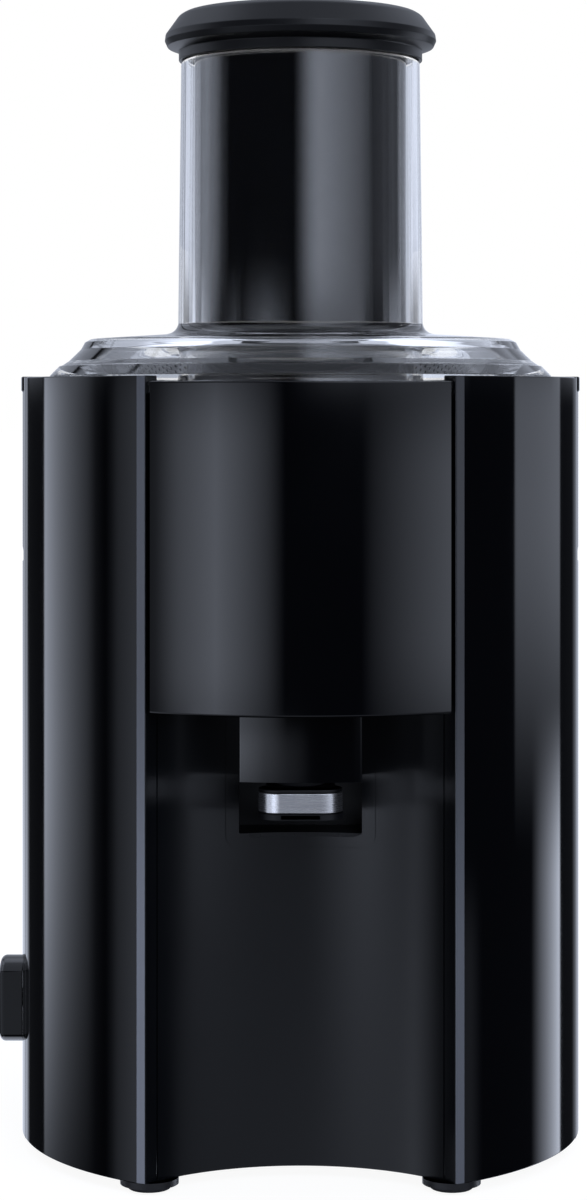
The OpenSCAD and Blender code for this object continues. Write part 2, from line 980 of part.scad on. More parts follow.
// Hollow of the lid: an upright wall at its foot, then lid_t inside the outside
module lid_inside(r, drop)
    rotate_extrude()
        polygon([
            [0, lid_low - 1], [r - 6, lid_low - 1], [r - 6, 288.4], [r - 13.4, 294.1],
            [r - 15.4, 297.1 - drop], [plateau_r, 301.2 - drop - lid_t],
            [0, 301.6 - drop - lid_t]
        ]);

module lid_flange()
    upright(lid_low, lid_plate) {
        circle(lid_flange_r);
        intersection() {
            egg(body_r - gap, rear_r - gap);
            behind(bin_start);
        }
    }

module lid_cover()
    color("#e6eaec", 0.45)
        difference() {
            union() {
                hull() {
                    lid_outside(lid_r, 0);
                    translate([0, rear_y, 0]) lid_outside(lid_rear_r, lid_drop);
                }
                lid_flange();
            }
            hull() {
                lid_inside(lid_r, 0);
                translate([0, rear_y, 0]) lid_inside(lid_rear_r, lid_drop);
            }
            chute_round(0);
        }

// Chute with its bore, or filled when the bore is 0; its collar is let into the lid's top
module chute_round(bore)
    translate([0, -chute_ahead, 0])
        rotate_extrude()
            polygon([
                [bore, chute_low], [chute_foot, chute_low], [chute_foot, collar_low],
                [chute_foot + collar_w, collar_low], [chute_foot + collar_w, 300.9],
                [chute_foot + 2.4, 301.6], [chute_foot + 0.6, 302.7], [chute_foot, 304],
                [chute_r, chute_top], [bore, chute_top]
            ]);

module feed_chute() color("#e6eaec", 0.45) chute_round(chute_bore);

module pusher_tube()
    color("#101114")
        translate([0, -chute_ahead, 0])
            difference() {
                translate([0, 0, pusher_low]) cylinder(r = pusher_r, h = pusher_top - pusher_low);
                translate([0, 0, pusher_low + 3]) cylinder(r = pusher_r - pusher_wall, h = 300);
            }

module pusher_cap()
    color("#1c1d20")
        translate([0, -chute_ahead, 0])
            rotate_extrude()
                polygon([
                    [0, height], [43, height], [45.3, height - 1.4], [50.1, height - 8.1],
                    [50.4, height - 10.3], [49.4, height - 12.5], [45.2, height - 14],
                    [45.2, cap_low], [pusher_r, cap_low], [pusher_r, pusher_top],
                    [pusher_r - pusher_wall, pusher_top], [pusher_r - pusher_wall, height - 3.5],
                    [0, height - 3]
                ]);

// ---- Clamps, switch knob and container ----

module clamp()
    difference() {
        union() {
            arc_wall(body_r, clamp_in, 90 - clamp_half, 90 + clamp_half, clamp_z, lip_low);
            arc_wall(body_r + lip, clamp_in, 90 - clamp_half, 90 + clamp_half,
                lip_low, clamp_top);
            arc_wall(clamp_in + 1, hook_r, 90 - clamp_half, 90 + clamp_half,
                hook_low, clamp_top);
            intersection() {
                translate([clamp_x, 0, clamp_z]) along_y(heel_r, 34);
                cylinder(r = body_r, h = 300);
            }
        }
        translate([clamp_x, 0, clamp_z]) along_y(pin_r + running, 60);
    }

module right_clamp() color("#15161a") clamp();
module left_clamp() color("#15161a") mirror([1, 0, 0]) clamp();

module switch_knob()
    color("#15161a")
        translate([0, 0, knob_z])
            rotate([0, -90, 0])
                difference() {
                    intersection() {
                        rotate_extrude()
                            polygon([
                                [0, 104], [knob_r, 104], [knob_r, knob_reach - 2.2],
                                [knob_r - 0.7, knob_reach - 0.7], [knob_r - 2.2, knob_reach],
                                [0, knob_reach]
                            ]);
                        translate([-20, -knob_grip / 2, 100]) cube([40, knob_grip, 20]);
                    }
                    cylinder(r = spindle_r, h = 108);
                }

module knob_spindle()
    color("silver") translate([-96, 0, knob_z]) along_x(spindle_r, 24);

module bin_plan(inset)
    difference() {
        intersection() {
            egg(body_r - inset, rear_r - inset);
            behind(bin_start + inset);
        }
        circle(tower_r + bin_gap + inset);
    }

module grip_scoop(grow)
    translate([0, rear_y + rear_r + scoop_out, scoop_z]) sphere(r = scoop_r + grow);

module pulp_container()
    color("#17181c")
        difference() {
            union() {
                difference() {
                    upright(bin_low, bin_top) bin_plan(0);
                    upright(bin_low + bin_wall, bin_top + 1) bin_plan(bin_wall);
                }
                intersection() {
                    grip_scoop(bin_wall);
                    upright(bin_low, bin_top) bin_plan(0.2);
                }
            }
            grip_scoop(0);
            translate([0, 0, bin_front]) cylinder(r = flange_r + 1.2, h = 100);
        }

place() base_tray();
place() front_left_column();
place() front_right_column();
place() left_side_shell();
place() right_side_shell();
place() bay_wall();
place() rear_cover();
place() top_deck();
place() bowl_cradle();
place() foot_pads();
place() base_screws();
place() cord_inlet();
place() clamp_pins();
place() interlock_switch();
place() switch_body();
place() speed_board();
place() motor_bracket();
place() lower_bracket();
place() motor_mounts();
place() motor_screws();
place() motor_stator();
place() stator_coils();
place() brush_holders();
place() carbon_brushes();
place() upper_bearing();
place() lower_bearing();
place() shaft_seal();
place() motor_shaft();
place() rotor_core();
place() commutator();
place() cooling_fan();
place() drive_coupling();
place() basket_hub();
place() grater_disc();
place() sieve_cone();
place() basket_rim();
place() juice_bowl();
place() bowl_floor();
place() bowl_rim();
place() bowl_chimney();
place() spout_tube();
place() front_panel();
place() spout_hood();
place() lever_pin();
place() drip_lever();
place() lever_tab();
place() drip_seal();
place() lid_cover();
place() feed_chute();
place() pusher_tube();
place() pusher_cap();
place() left_clamp();
place() right_clamp();
place() switch_knob();
place() knob_spindle();
place() pulp_container();
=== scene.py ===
import json
import math

import bmesh
import bpy
import numpy as np
from bpy.props import FloatProperty, FloatVectorProperty, IntProperty, PointerProperty
from bpy.types import Operator, Panel, PropertyGroup
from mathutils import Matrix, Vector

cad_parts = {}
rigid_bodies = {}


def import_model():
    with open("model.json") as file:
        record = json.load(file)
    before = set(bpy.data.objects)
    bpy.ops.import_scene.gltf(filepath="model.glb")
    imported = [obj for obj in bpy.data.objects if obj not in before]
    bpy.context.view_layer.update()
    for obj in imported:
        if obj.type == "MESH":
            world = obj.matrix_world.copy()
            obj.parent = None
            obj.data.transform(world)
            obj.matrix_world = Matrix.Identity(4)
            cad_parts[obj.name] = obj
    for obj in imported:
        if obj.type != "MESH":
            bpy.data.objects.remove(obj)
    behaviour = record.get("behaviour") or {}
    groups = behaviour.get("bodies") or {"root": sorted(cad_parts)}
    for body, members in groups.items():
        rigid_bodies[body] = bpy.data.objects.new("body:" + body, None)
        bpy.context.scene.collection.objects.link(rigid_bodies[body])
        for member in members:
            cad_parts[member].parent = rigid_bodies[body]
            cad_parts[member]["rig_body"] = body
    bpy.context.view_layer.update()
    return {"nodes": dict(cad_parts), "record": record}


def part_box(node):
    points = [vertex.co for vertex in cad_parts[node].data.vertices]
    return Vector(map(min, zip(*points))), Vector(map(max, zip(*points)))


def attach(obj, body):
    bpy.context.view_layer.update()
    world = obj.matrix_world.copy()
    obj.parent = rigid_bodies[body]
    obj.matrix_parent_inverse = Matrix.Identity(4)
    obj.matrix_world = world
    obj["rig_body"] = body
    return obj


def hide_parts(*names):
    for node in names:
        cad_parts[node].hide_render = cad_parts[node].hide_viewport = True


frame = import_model()

bl_info = {
    "name": "Centrifugal juicer",
    "version": (1, 0, 0),
    "blender": (4, 5, 0),
    "location": "3D View > Sidebar > Juicer",
    "description": "Dresses a juicer's frame: gloss housing, clear lid, steel basket, studio",
    "category": "Object",
}

# Metres throughout. Shapes are worked out around the drive axis, with angles measured from
# straight ahead (-Y) towards +X, and AXIS then carries them to their place in the frame.


def low(node):
    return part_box(node)[0]


def high(node):
    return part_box(node)[1]


def middle(node):
    return (low(node) + high(node)) / 2


AXIS = np.array([middle("motor_shaft").x, middle("motor_shaft").y, 0.0])


# ---- Sizes and colours a user would change ----


def length(name, text, default):
    return FloatProperty(name=name, description=text, default=default, unit="LENGTH", precision=5)


def angle(name, text, degrees):
    return FloatProperty(name=name, description=text, default=math.radians(degrees), unit="ROTATION")


def colour(name, text, default):
    return FloatVectorProperty(
        name=name, description=text, default=default, subtype="COLOR", size=3, min=0, max=1
    )


def level(name, text, default):
    return FloatProperty(name=name, description=text, default=default, min=0, subtype="FACTOR")


class JuicerSizes(PropertyGroup):
    body_r: length("Body radius", "Outer radius of the housing about the drive axis", 0.1045)
    rear_r: length("Rear radius", "Radius of the rear end of the plan", 0.095)
    rear_y: length("Rear centre", "Distance of the rear end's centre behind the drive axis", 0.095)
    wall: length("Wall", "Thickness of the moulded walls", 0.0025)
    edge: length("Edge", "Width of the rounding on moulded edges", 0.0004)
    seam: angle("Seam", "Angle of the seam between a column and its side shell", 76)
    bevel_out: length("Bevel reach", "How far the bevel cuts into a column's outer face", 0.003248)
    bevel_in: length("Bevel inset", "How far the bevel cuts into the hollow's wall", 0.00042)
    post_r: length("Post radius", "Inner radius of a column's corner post", 0.0982)
    post_to: angle("Post end", "Angle at which the corner post ends", 36.5)
    side_end: length("Side end", "Where a side shell ends behind the drive axis", 0.030)
    bay_r: length("Bay radius", "Radius of the hollow for the jug", 0.070)
    bay_ahead: length("Bay centre", "Distance of the hollow's axis in front of the drive", 0.1336)
    pocket_w: length("Pocket width", "Width of the pocket behind the spout", 0.0444)
    pocket_low: length("Pocket foot", "Height of the pocket's lower edge", 0.1227)
    pad_w: length("Pad width", "Width of the pad outlined around the pocket", 0.055)
    pad_low: length("Pad foot", "Height of the pad's lower edge", 0.1175)
    panel_half: angle("Panel half", "Half of the angle that the front panel spans", 30)
    hood_front: length("Hood radius", "Radius of the spout hood's front", 0.090)
    head_r: length("Tab bend", "Radius of the drip lever's rounded ends", 0.008)
    head_x: length("Tab centres", "Distance of those ends from the middle", 0.0068)
    lid_r: length("Lid radius", "Radius of the lid's foot in front", 0.0943)
    lid_rear_r: length("Lid rear", "Radius of the lid's foot behind", 0.088)
    lid_drop: length("Lid drop", "How much lower the lid is behind", 0.0015)
    lid_t: length("Lid wall", "Thickness of the lid", 0.0022)
    chute_ahead: length("Chute centre", "Distance of the chute's axis in front", 0.0173)
    chute_r: length("Chute radius", "Outer radius of the chute at its mouth", 0.0443)
    chute_foot: length("Chute foot", "Outer radius of the chute at its foot", 0.0454)
    chute_bore: length("Chute bore", "Inner radius of the chute", 0.0418)
    pusher_r: length("Pusher radius", "Outer radius of the pusher", 0.0392)
    knob_r: length("Knob radius", "Radius of the switch knob", 0.016)
    knob_w: length("Knob grip", "Width of the knob between its flats", 0.0212)
    tower_gap: length("Container front", "Radius of the container's front wall", 0.0935)
    sieve_foot: length("Sieve foot", "Radius of the sieve cone at its foot", 0.0635)
    sieve_rim: length("Sieve rim", "Radius of the sieve cone at its rim", 0.077)
    steps: IntProperty(name="Steps", description="Points in a full turn", default=192, min=48)


class JuicerFinish(PropertyGroup):
    gloss: colour("Gloss black", "High-gloss moulded housing", (0.0016, 0.0019, 0.0032))
    # The bevels' colours are painted reflection: lighter than the gloss black, the left much lighter than
    # the right, and each foot lighter still as a painted floor reflection
    left_bevel_reflection: colour("Left bevel", "Painted reflection on the bevel left of the jug bay", (0.135, 0.143, 0.165))
    left_foot_reflection: colour("Left bevel's foot", "Painted floor reflection on the lower part of the left bevel", (0.30, 0.315, 0.36))
    right_bevel_reflection: colour("Right bevel", "Painted reflection on the bevel right of the jug bay", (0.030, 0.032, 0.038))
    right_foot_reflection: colour("Right bevel's foot", "Painted floor reflection on the lower part of the right bevel", (0.16, 0.17, 0.195))
    bay: colour("Bay", "Wall of the jug bay", (0.0028, 0.0034, 0.0048))
    matt: colour("Matt black", "Cap of the pusher", (0.0045, 0.0048, 0.0062))
    plastic: colour("Dark plastic", "Inner mouldings", (0.012, 0.012, 0.014))
    clear: colour("Clear", "Lid and chute", (0.993, 0.996, 0.998))
    steel: colour("Steel", "Brushed steel of the lever's tab", (0.93, 0.93, 0.95))


class JuicerStudio(PropertyGroup):
    backdrop: level("Backdrop", "Brightness of the white surroundings", 1.0)
    fill: level("Fill", "Faint light from everywhere", 0.02)
    boxes: level("Softboxes", "Strength of all the softboxes", 1.0)


def sizes():
    return bpy.context.scene.juicer_sizes


def colours():
    return bpy.context.scene.juicer_finish


# ---- Shader node groups and materials ----


def node(tree, kind, label="", **settings):
    made = tree.nodes.new(kind)
    made.label = label
    for name, value in settings.items():
        setattr(made, name, value)
    return made


def math_node(tree, operation, first, second=None, third=None):
    made = node(tree, "ShaderNodeMath", operation=operation)
    for socket, value in zip(made.inputs, (first, second, third)):
        if isinstance(value, (int, float)):
            socket.default_value = value
        elif value is not None:
            tree.links.new(value, socket)
    return made.outputs[0]


def new_group(name, inputs, outputs):
    """A shader node group with named sockets: inputs are (name, type, default), outputs (name, type)."""
    group = bpy.data.node_groups.new(name, "ShaderNodeTree")
    for label, kind, default in inputs:
        socket = group.interface.new_socket(label, in_out="INPUT", socket_type=kind)
        socket.default_value = default
    for label, kind in outputs:
        group.interface.new_socket(label, in_out="OUTPUT", socket_type=kind)
    return group, group.nodes.new("NodeGroupInput"), group.nodes.new("NodeGroupOutput")


def grain_group():
    """Moulded surface: a broad, slow unevenness and a fine grain, both of noise in object space.
    Mask runs from 0 to 1 with the slow one; Normal tilts the surface by the fine one."""
    name = "moulded surface"
    if name in bpy.data.node_groups:
        return bpy.data.node_groups[name]
    group, given, result = new_group(
        name,
        [("Grain per metre", "NodeSocketFloat", 2500.0), ("Waves per metre", "NodeSocketFloat", 14.0),
         ("Depth", "NodeSocketFloat", 0.00001), ("Strength", "NodeSocketFloat", 0.1)],
        [("Mask", "NodeSocketFloat"), ("Normal", "NodeSocketVector")],
    )
    place = node(group, "ShaderNodeTexCoord")
    slow = node(group, "ShaderNodeTexNoise", "slow unevenness")
    slow.inputs["Detail"].default_value = 2
    fine = node(group, "ShaderNodeTexNoise", "grain")
    fine.inputs["Detail"].default_value = 3
    bump = node(group, "ShaderNodeBump")
    link = group.links.new
    link(place.outputs["Object"], slow.inputs["Vector"])
    link(place.outputs["Object"], fine.inputs["Vector"])
    link(given.outputs["Waves per metre"], slow.inputs["Scale"])
    link(given.outputs["Grain per metre"], fine.inputs["Scale"])
    link(given.outputs["Depth"], bump.inputs["Distance"])
    link(given.outputs["Strength"], bump.inputs["Strength"])
    link(fine.outputs["Fac"], bump.inputs["Height"])
    link(slow.outputs["Fac"], result.inputs["Mask"])
    link(bump.outputs["Normal"], result.inputs["Normal"])
    return group


def brushed_group():
    """Brushed metal: noise drawn out along one direction, so that it reads as fine parallel lines.
    Stretch holds how often the noise repeats per metre along X, Y and Z."""
    name = "brushed lines"
    if name in bpy.data.node_groups:
        return bpy.data.node_groups[name]
    group, given, result = new_group(
        name,
        [("Stretch", "NodeSocketVector", (60.0, 60.0, 9000.0)), ("Depth", "NodeSocketFloat", 0.000004)],
        [("Mask", "NodeSocketFloat"), ("Normal", "NodeSocketVector")],
    )
    place = node(group, "ShaderNodeTexCoord")
    drawn = node(group, "ShaderNodeVectorMath", "draw out", operation="MULTIPLY")
    lines = node(group, "ShaderNodeTexNoise", "lines")
    lines.inputs["Scale"].default_value = 1.0
    lines.inputs["Detail"].default_value = 4
    bump = node(group, "ShaderNodeBump")
    bump.inputs["Strength"].default_value = 0.35
    link = group.links.new
    link(place.outputs["Object"], drawn.inputs[0])
    link(given.outputs["Stretch"], drawn.inputs[1])
    link(drawn.outputs["Vector"], lines.inputs["Vector"])
    link(given.outputs["Depth"], bump.inputs["Distance"])
    link(lines.outputs["Fac"], bump.inputs["Height"])
    link(lines.outputs["Fac"], result.inputs["Mask"])
    link(bump.outputs["Normal"], result.inputs["Normal"])
    return group


def spread(tree, mask, from_value, to_value):
    """Turns a mask's middle range into a value that runs between two others."""
    made = node(tree, "ShaderNodeMapRange")
    made.inputs["From Min"].default_value = 0.3
    made.inputs["From Max"].default_value = 0.7
    made.inputs["To Min"].default_value = from_value
    made.inputs["To Max"].default_value = to_value
    tree.links.new(mask, made.inputs["Value"])
    return made.outputs["Result"]


def mixed(tree, factor, start, end):
    """A colour that runs from start, a socket or a colour, to another colour."""
    made = node(tree, "ShaderNodeMix", data_type="RGBA")
    tree.links.new(factor, made.inputs["Factor"])
    if isinstance(start, bpy.types.NodeSocket):
        tree.links.new(start, made.inputs["A"])
    else:
        made.inputs["A"].default_value = (*start, 1)
    made.inputs["B"].default_value = (*end, 1)
    return made.outputs["Result"]


def shade(tree, mask, base, contrast):
    """A colour that runs a little darker and lighter with a mask."""
    return mixed(
        tree, mask, [c * (1 - contrast) for c in base], [c * (1 + contrast) for c in base]
    )


def surface(name, base, rough, group, settings, contrast=0.15, **flat):
    """A principled material whose colour, roughness and normal vary with one of the groups."""
    if name in bpy.data.materials:
        return bpy.data.materials[name]
    material = bpy.data.materials.new(name)
    material.use_nodes = True
    tree = material.node_tree
    shader = tree.nodes["Principled BSDF"]
    texture = node(tree, "ShaderNodeGroup", node_tree=group)
    for label, value in settings.items():
        texture.inputs[label].default_value = value
    tree.links.new(shade(tree, texture.outputs["Mask"], base, contrast), shader.inputs["Base Color"])
    tree.links.new(spread(tree, texture.outputs["Mask"], *rough), shader.inputs["Roughness"])
    tree.links.new(texture.outputs["Normal"], shader.inputs["Normal"])
    for label, value in flat.items():
        shader.inputs[label.replace("_", " ")].default_value = value
    return material


def moulded(name, base, rough, grain=2500.0, depth=0.00001, strength=0.1, **flat):
    return surface(
        name, base, rough, grain_group(),
        {"Grain per metre": grain, "Depth": depth, "Strength": strength}, **flat
    )


def metal(name, base, rough, stretch=(60, 60, 9000)):
    return surface(
        name, base, rough, brushed_group(), {"Stretch": stretch}, contrast=0.12, Metallic=1.0
    )


def gloss_black():
    return moulded("gloss black", colours().gloss, (0.045, 0.075), 700.0, 0.000002, 0.05)


def bevel_painted_reflection(side):
    """Painted reflection on a column's bevel: a colour lighter than the gloss black, lighter on the left
    than on the right, that grows lighter still from one height down to another as a painted floor
    reflection.
    """
    fade_from, fade_to = 0.20, 0.08
    finish = colours()
    # Each side's two colours are painted reflection: the left bevel is painted as lit more than the right
    if side > 0:
        name, top, foot = "edge black right", finish.right_bevel_reflection, finish.right_foot_reflection
    else:
        name, top, foot = "edge black left", finish.left_bevel_reflection, finish.left_foot_reflection
    material = moulded(name, top, (0.16, 0.22), 700.0, 0.000002, 0.05)
    tree = material.node_tree
    base = tree.nodes["Principled BSDF"].inputs["Base Color"]
    place = node(tree, "ShaderNodeTexCoord")
    parts = node(tree, "ShaderNodeSeparateXYZ")
    tree.links.new(place.outputs["Object"], parts.inputs[0])
    # Painted floor reflection: the colour turns lighter towards the bevel's foot
    down = node(tree, "ShaderNodeMapRange", "painted floor reflection towards the foot", interpolation_type="SMOOTHSTEP")
    down.inputs["From Min"].default_value = fade_from
    down.inputs["From Max"].default_value = fade_to
    tree.links.new(parts.outputs["Z"], down.inputs["Value"])
    tree.links.new(mixed(tree, down.outputs["Result"], base.links[0].from_socket, foot), base)
    return material


def bay_black():
    return moulded("bay black", colours().bay, (0.22, 0.27), 900.0, 0.000003, 0.06)


def cap_black():
    return moulded(
        "cap black", colours().matt, (0.34, 0.42), 2600.0, 0.00002, 0.12, Specular_IOR_Level=0.36
    )


def dark_plastic():
    return moulded("dark plastic", colours().plastic, (0.36, 0.46), 2200.0, 0.00002, 0.12)


def rubber():
    return moulded("rubber", (0.014, 0.014, 0.015), (0.55, 0.7), 1800.0, 0.00004, 0.2)


def satin_steel():
    return metal("satin steel", colours().steel, (0.20, 0.30))


def basket_steel():
    return metal("basket steel", (0.62, 0.62, 0.63), (0.24, 0.34), (900, 900, 7000))


def steel():
    return metal("steel", (0.55, 0.55, 0.56), (0.25, 0.36), (2500, 2500, 2500))


def clear_plastic():
    """Clear moulded plastic: plain transmission, with slow flow waves in the surface."""
    name = "clear plastic"
    if name in bpy.data.materials:
        return bpy.data.materials[name]
    material = bpy.data.materials.new(name)
    material.use_nodes = True
    tree = material.node_tree
    shader = tree.nodes["Principled BSDF"]
    texture = node(tree, "ShaderNodeGroup", node_tree=grain_group())
    texture.inputs["Grain per metre"].default_value = 45.0
    texture.inputs["Depth"].default_value = 0.00005
    texture.inputs["Strength"].default_value = 0.12
    tint = shade(tree, texture.outputs["Mask"], colours().clear, 0.004)
    tree.links.new(tint, shader.inputs["Base Color"])
    tree.links.new(texture.outputs["Normal"], shader.inputs["Normal"])
    shader.inputs["Roughness"].default_value = 0.0
    shader.inputs["IOR"].default_value = 1.49
    shader.inputs["Transmission Weight"].default_value = 1.0
    return material


def inner_finishes():
    """Finish of each remaining frame node, by the name of its material slot in the record."""
    return {
        "gloss_black": gloss_black(),
        "bay_black": bay_black(),
        "cap_black": cap_black(),
        "dark_plastic": dark_plastic(),
        "clear_plastic": clear_plastic(),
        "satin_steel": satin_steel(),
        "basket_steel": basket_steel(),
        "steel": steel(),
        "laminations": metal("laminations", (0.32, 0.33, 0.34), (0.35, 0.5), (50, 50, 4000)),
        "copper": metal("copper", (0.70, 0.34, 0.17), (0.28, 0.4), (400, 400, 6000)),
        "bracket_metal": metal("bracket metal", (0.48, 0.49, 0.50), (0.4, 0.55), (1500, 1500, 1500)),
        "rubber": rubber(),
        "white_plastic": moulded("white plastic", (0.62, 0.62, 0.58), (0.35, 0.45), 1800.0, 0.00002),
        "fan_plastic": moulded("fan plastic", (0.05, 0.055, 0.065), (0.4, 0.5), 1800.0, 0.00002),
        "carbon": moulded("carbon", (0.02, 0.02, 0.021), (0.5, 0.65), 3000.0, 0.00003, 0.2),
        "board": moulded("board", (0.012, 0.085, 0.030), (0.3, 0.42), 1200.0, 0.00002, 0.15),
    }


# ---- Shapes ----


def arc(radius, start, end, count, centre=(0.0, 0.0)):
    """Points of a circle about a centre, evenly from one angle to another, in degrees."""
    a = np.radians(np.linspace(start, end, count))
    return np.stack([centre[0] + radius * np.sin(a), centre[1] - radius * np.cos(a)], -1)


def bend(start, corner, end, t):
    """Points of the quadratic curve that leaves start towards corner and comes from it to end."""
    return (1 - t) ** 2 * start + 2 * t * (1 - t) * corner + t**2 * end


def rounded(corners, radii, count=5):
    """A polyline whose corners are replaced by arcs: each arc leaves its corner's two sides at
    radius / tan(half the corner's angle) and is drawn as a quadratic curve between them."""
    corners = np.asarray(corners, float)
    radii = np.broadcast_to(np.asarray(radii, float), len(corners))
    parts = []
    neighbours = zip(np.roll(corners, 1, 0), corners, np.roll(corners, -1, 0), radii)
    for before, corner, after, r in neighbours:
        to_before = (before - corner) / np.linalg.norm(before - corner)
        to_after = (after - corner) / np.linalg.norm(after - corner)
        half = math.acos(np.clip(to_before @ to_after, -1, 1)) / 2
        reach = r / math.tan(half)
        t = np.linspace(0, 1, count)[:, None]
        start, end = corner + to_before * reach, corner + to_after * reach
        parts.append(bend(start, corner, end, t) if r > 0 else corner[None])
    return np.concatenate(parts)


def side_turn(s):
    """Angle by which the flat sides of the plan turn in from front to rear."""
    return math.asin((s.body_r - s.rear_r) / s.rear_y)


def egg(front, back, s, count):
    """Outline round two circles, one on the drive axis and one behind it, joined by flats that turn
    in as the lid's sides do. It starts straight ahead and goes round by +X; count is the number of
    steps on the two circles together."""
    turn = math.degrees(math.asin((s.lid_r - s.lid_rear_r) / s.rear_y))
    quarter = count // 4
    right = arc(front, 0, 90 + turn, quarter + 1)
    behind = arc(back, 90 + turn, 180, quarter + 1, (0, s.rear_y))
    half = np.concatenate([right, behind])
    return np.concatenate([half, half[-2:0:-1] * (-1, 1)])


def lift(outline, z):
    """An outline in the plan, raised to one height or to a height for each point."""
    return np.column_stack([outline, np.broadcast_to(z, len(outline))])


def quads(rows, columns, wrap_rows=False, wrap_columns=False):
    """Corner numbers of the quads of a grid: each point, the next in its row, and the two above."""
    r, c = np.meshgrid(
        np.arange(rows if wrap_rows else rows - 1),
        np.arange(columns if wrap_columns else columns - 1),
        indexing="ij",
    )
    up, on = (r + 1) % rows, (c + 1) % columns
    return np.stack([r * columns + c, r * columns + on, up * columns + on, up * columns + c], -1)


def grid(points, wrap_rows=False, wrap_columns=False, keep=None, caps=False):
    """A surface through a grid of points (rows, columns, 3). keep is a mask of the quads that stay;
    caps closes the first and the last row with one face each."""
    rows, columns = points.shape[:2]
    faces = quads(rows, columns, wrap_rows, wrap_columns)
    faces = faces[keep] if keep is not None else faces.reshape(-1, 4)
    extra = []
    if caps:
        extra = [list(range(columns))[::-1], list(range((rows - 1) * columns, rows * columns))]
    return points.reshape(-1, 3), [*faces.tolist(), *extra]


def turned(profile, s, centre=(0.0, 0.0), steps=None):
    """A closed profile of (radius, height) points carried round an upright axis: x and y are the
    radius times the sine and minus the cosine of the turning angle."""
    steps = steps or s.steps
    a = np.linspace(0, 2 * math.pi, steps, endpoint=False)
    r, z = np.asarray(profile, float).T
    x = centre[0] + np.outer(r, np.sin(a))
    y = centre[1] - np.outer(r, np.cos(a))
    points = np.stack([x, y, np.broadcast_to(z[:, None], x.shape)], -1)
    return grid(points, wrap_rows=True, wrap_columns=True)


def swept(profile, start, end, steps):
    """A closed profile of (radius, height) points carried part of the way round the drive axis and
    closed at both ends. The angles are in degrees."""
    a = np.radians(np.linspace(start, end, steps))[:, None]
    r, z = np.asarray(profile, float).T
    points = np.stack([r * np.sin(a), -r * np.cos(a), np.broadcast_to(z, (steps, len(z)))], -1)
    return grid(points, wrap_columns=True, caps=True)


def prism(outline, *heights):
    """A closed outline raised straight up through the heights, with flat ends."""
    return grid(np.stack([lift(outline, z) for z in heights]), wrap_columns=True, caps=True)


def sharpen_rim(mesh):
    """Marks the open edges sharp, so that the rim that Solidify adds doesn't bend the shading."""
    used, marked = np.empty(len(mesh.loops), np.int32), np.empty(len(mesh.edges), bool)
    mesh.loops.foreach_get("edge_index", used)
    mesh.edges.foreach_get("use_edge_sharp", marked)
    mesh.edges.foreach_set("use_edge_sharp", marked | (np.bincount(used, minlength=len(marked)) == 1))


def build(name, parts, finish, body, replaces=(), edge=0.0, thickness=0.0, loose=False,
          sharp=32.0, on_axis=True):
    """Joins surfaces into one piece, welds their seams, points its faces outwards, shades it smooth
    up to the sharp angle and puts it on its body. An open surface given a thickness is walled
    inwards by Solidify; edge rounds its sharp edges with Bevel. loose leaves the faces as given."""
    vertices, faces, count = [], [], 0
    for points, corners in parts:
        vertices.append(points)
        faces += [[i + count for i in face] for face in corners]
        count += len(points)
    place = np.concatenate(vertices) + (AXIS if on_axis else 0)
    mesh = bpy.data.meshes.new(name)
    mesh.from_pydata(place, [], faces)
    made = bmesh.new()
    made.from_mesh(mesh)
    bmesh.ops.remove_doubles(made, verts=made.verts, dist=2e-6)
    bmesh.ops.dissolve_degenerate(made, dist=1e-7, edges=made.edges)
    if not loose:
        bmesh.ops.recalc_face_normals(made, faces=made.faces)
    made.to_mesh(mesh)
    made.free()
    mesh.shade_smooth()
    mesh.set_sharp_from_angle(angle=math.radians(sharp))
    if thickness:
        sharpen_rim(mesh)
    mesh.materials.append(finish)
    piece = bpy.data.objects.new(name, mesh)
    bpy.context.scene.collection.objects.link(piece)
    if thickness:
        wall = piece.modifiers.new("wall", "SOLIDIFY")
        wall.thickness = thickness
        wall.offset = -1
    if edge:
        rounding = piece.modifiers.new("edge", "BEVEL")
        rounding.width = edge
        rounding.segments = 3
        rounding.limit_method = "ANGLE"
        rounding.angle_limit = math.radians(35)
        rounding.harden_normals = True
    normals = piece.modifiers.new("normals", "WEIGHTED_NORMAL")
    normals.keep_sharp = True
    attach(piece, body)
    if replaces:
        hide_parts(*replaces)
    return piece


def smooth_copy(name, node_name, finish):
    """The frame node's own shape with its corners welded and its round faces shaded smooth."""
    source = frame["nodes"][node_name]
    mesh = source.data.copy()
    made = bmesh.new()
    made.from_mesh(mesh)
    bmesh.ops.remove_doubles(made, verts=made.verts, dist=2e-6)
    bmesh.ops.dissolve_limit(
        made, angle_limit=math.radians(0.5), verts=made.verts, edges=made.edges
    )
    made.to_mesh(mesh)
    made.free()
    mesh.shade_smooth()
    mesh.set_sharp_from_angle(angle=math.radians(28))
    mesh.materials.clear()
    mesh.materials.append(finish)
    piece = bpy.data.objects.new(name, mesh)
    bpy.context.scene.collection.objects.link(piece)
    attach(piece, source["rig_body"])
    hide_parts(node_name)
    return piece


def bay_angle(s, radius):
    """Angle from straight ahead at which the hollow's wall crosses a circle about the drive axis,
    by the law of cosines."""
    reach = (radius**2 + s.bay_ahead**2 - s.bay_r**2) / (2 * radius * s.bay_ahead)
    return math.degrees(math.acos(reach))


def bay_turn(s, radius):
    """Angle, at the hollow's own axis, of the point where its wall crosses a circle about the drive
    axis."""
    at = math.radians(bay_angle(s, radius))
    return math.atan2(radius * math.sin(at), s.bay_ahead - radius * math.cos(at))


def bay_point(s, along, out=0.0):
    """Plan of the hollow's wall: along is the arc length from its middle, out the depth behind it."""
    a = np.asarray(along) / s.bay_r
    r = s.bay_r + out
    return np.stack([r * np.sin(a), -s.bay_ahead + r * np.cos(a)], -1)


# ---- Housing ----


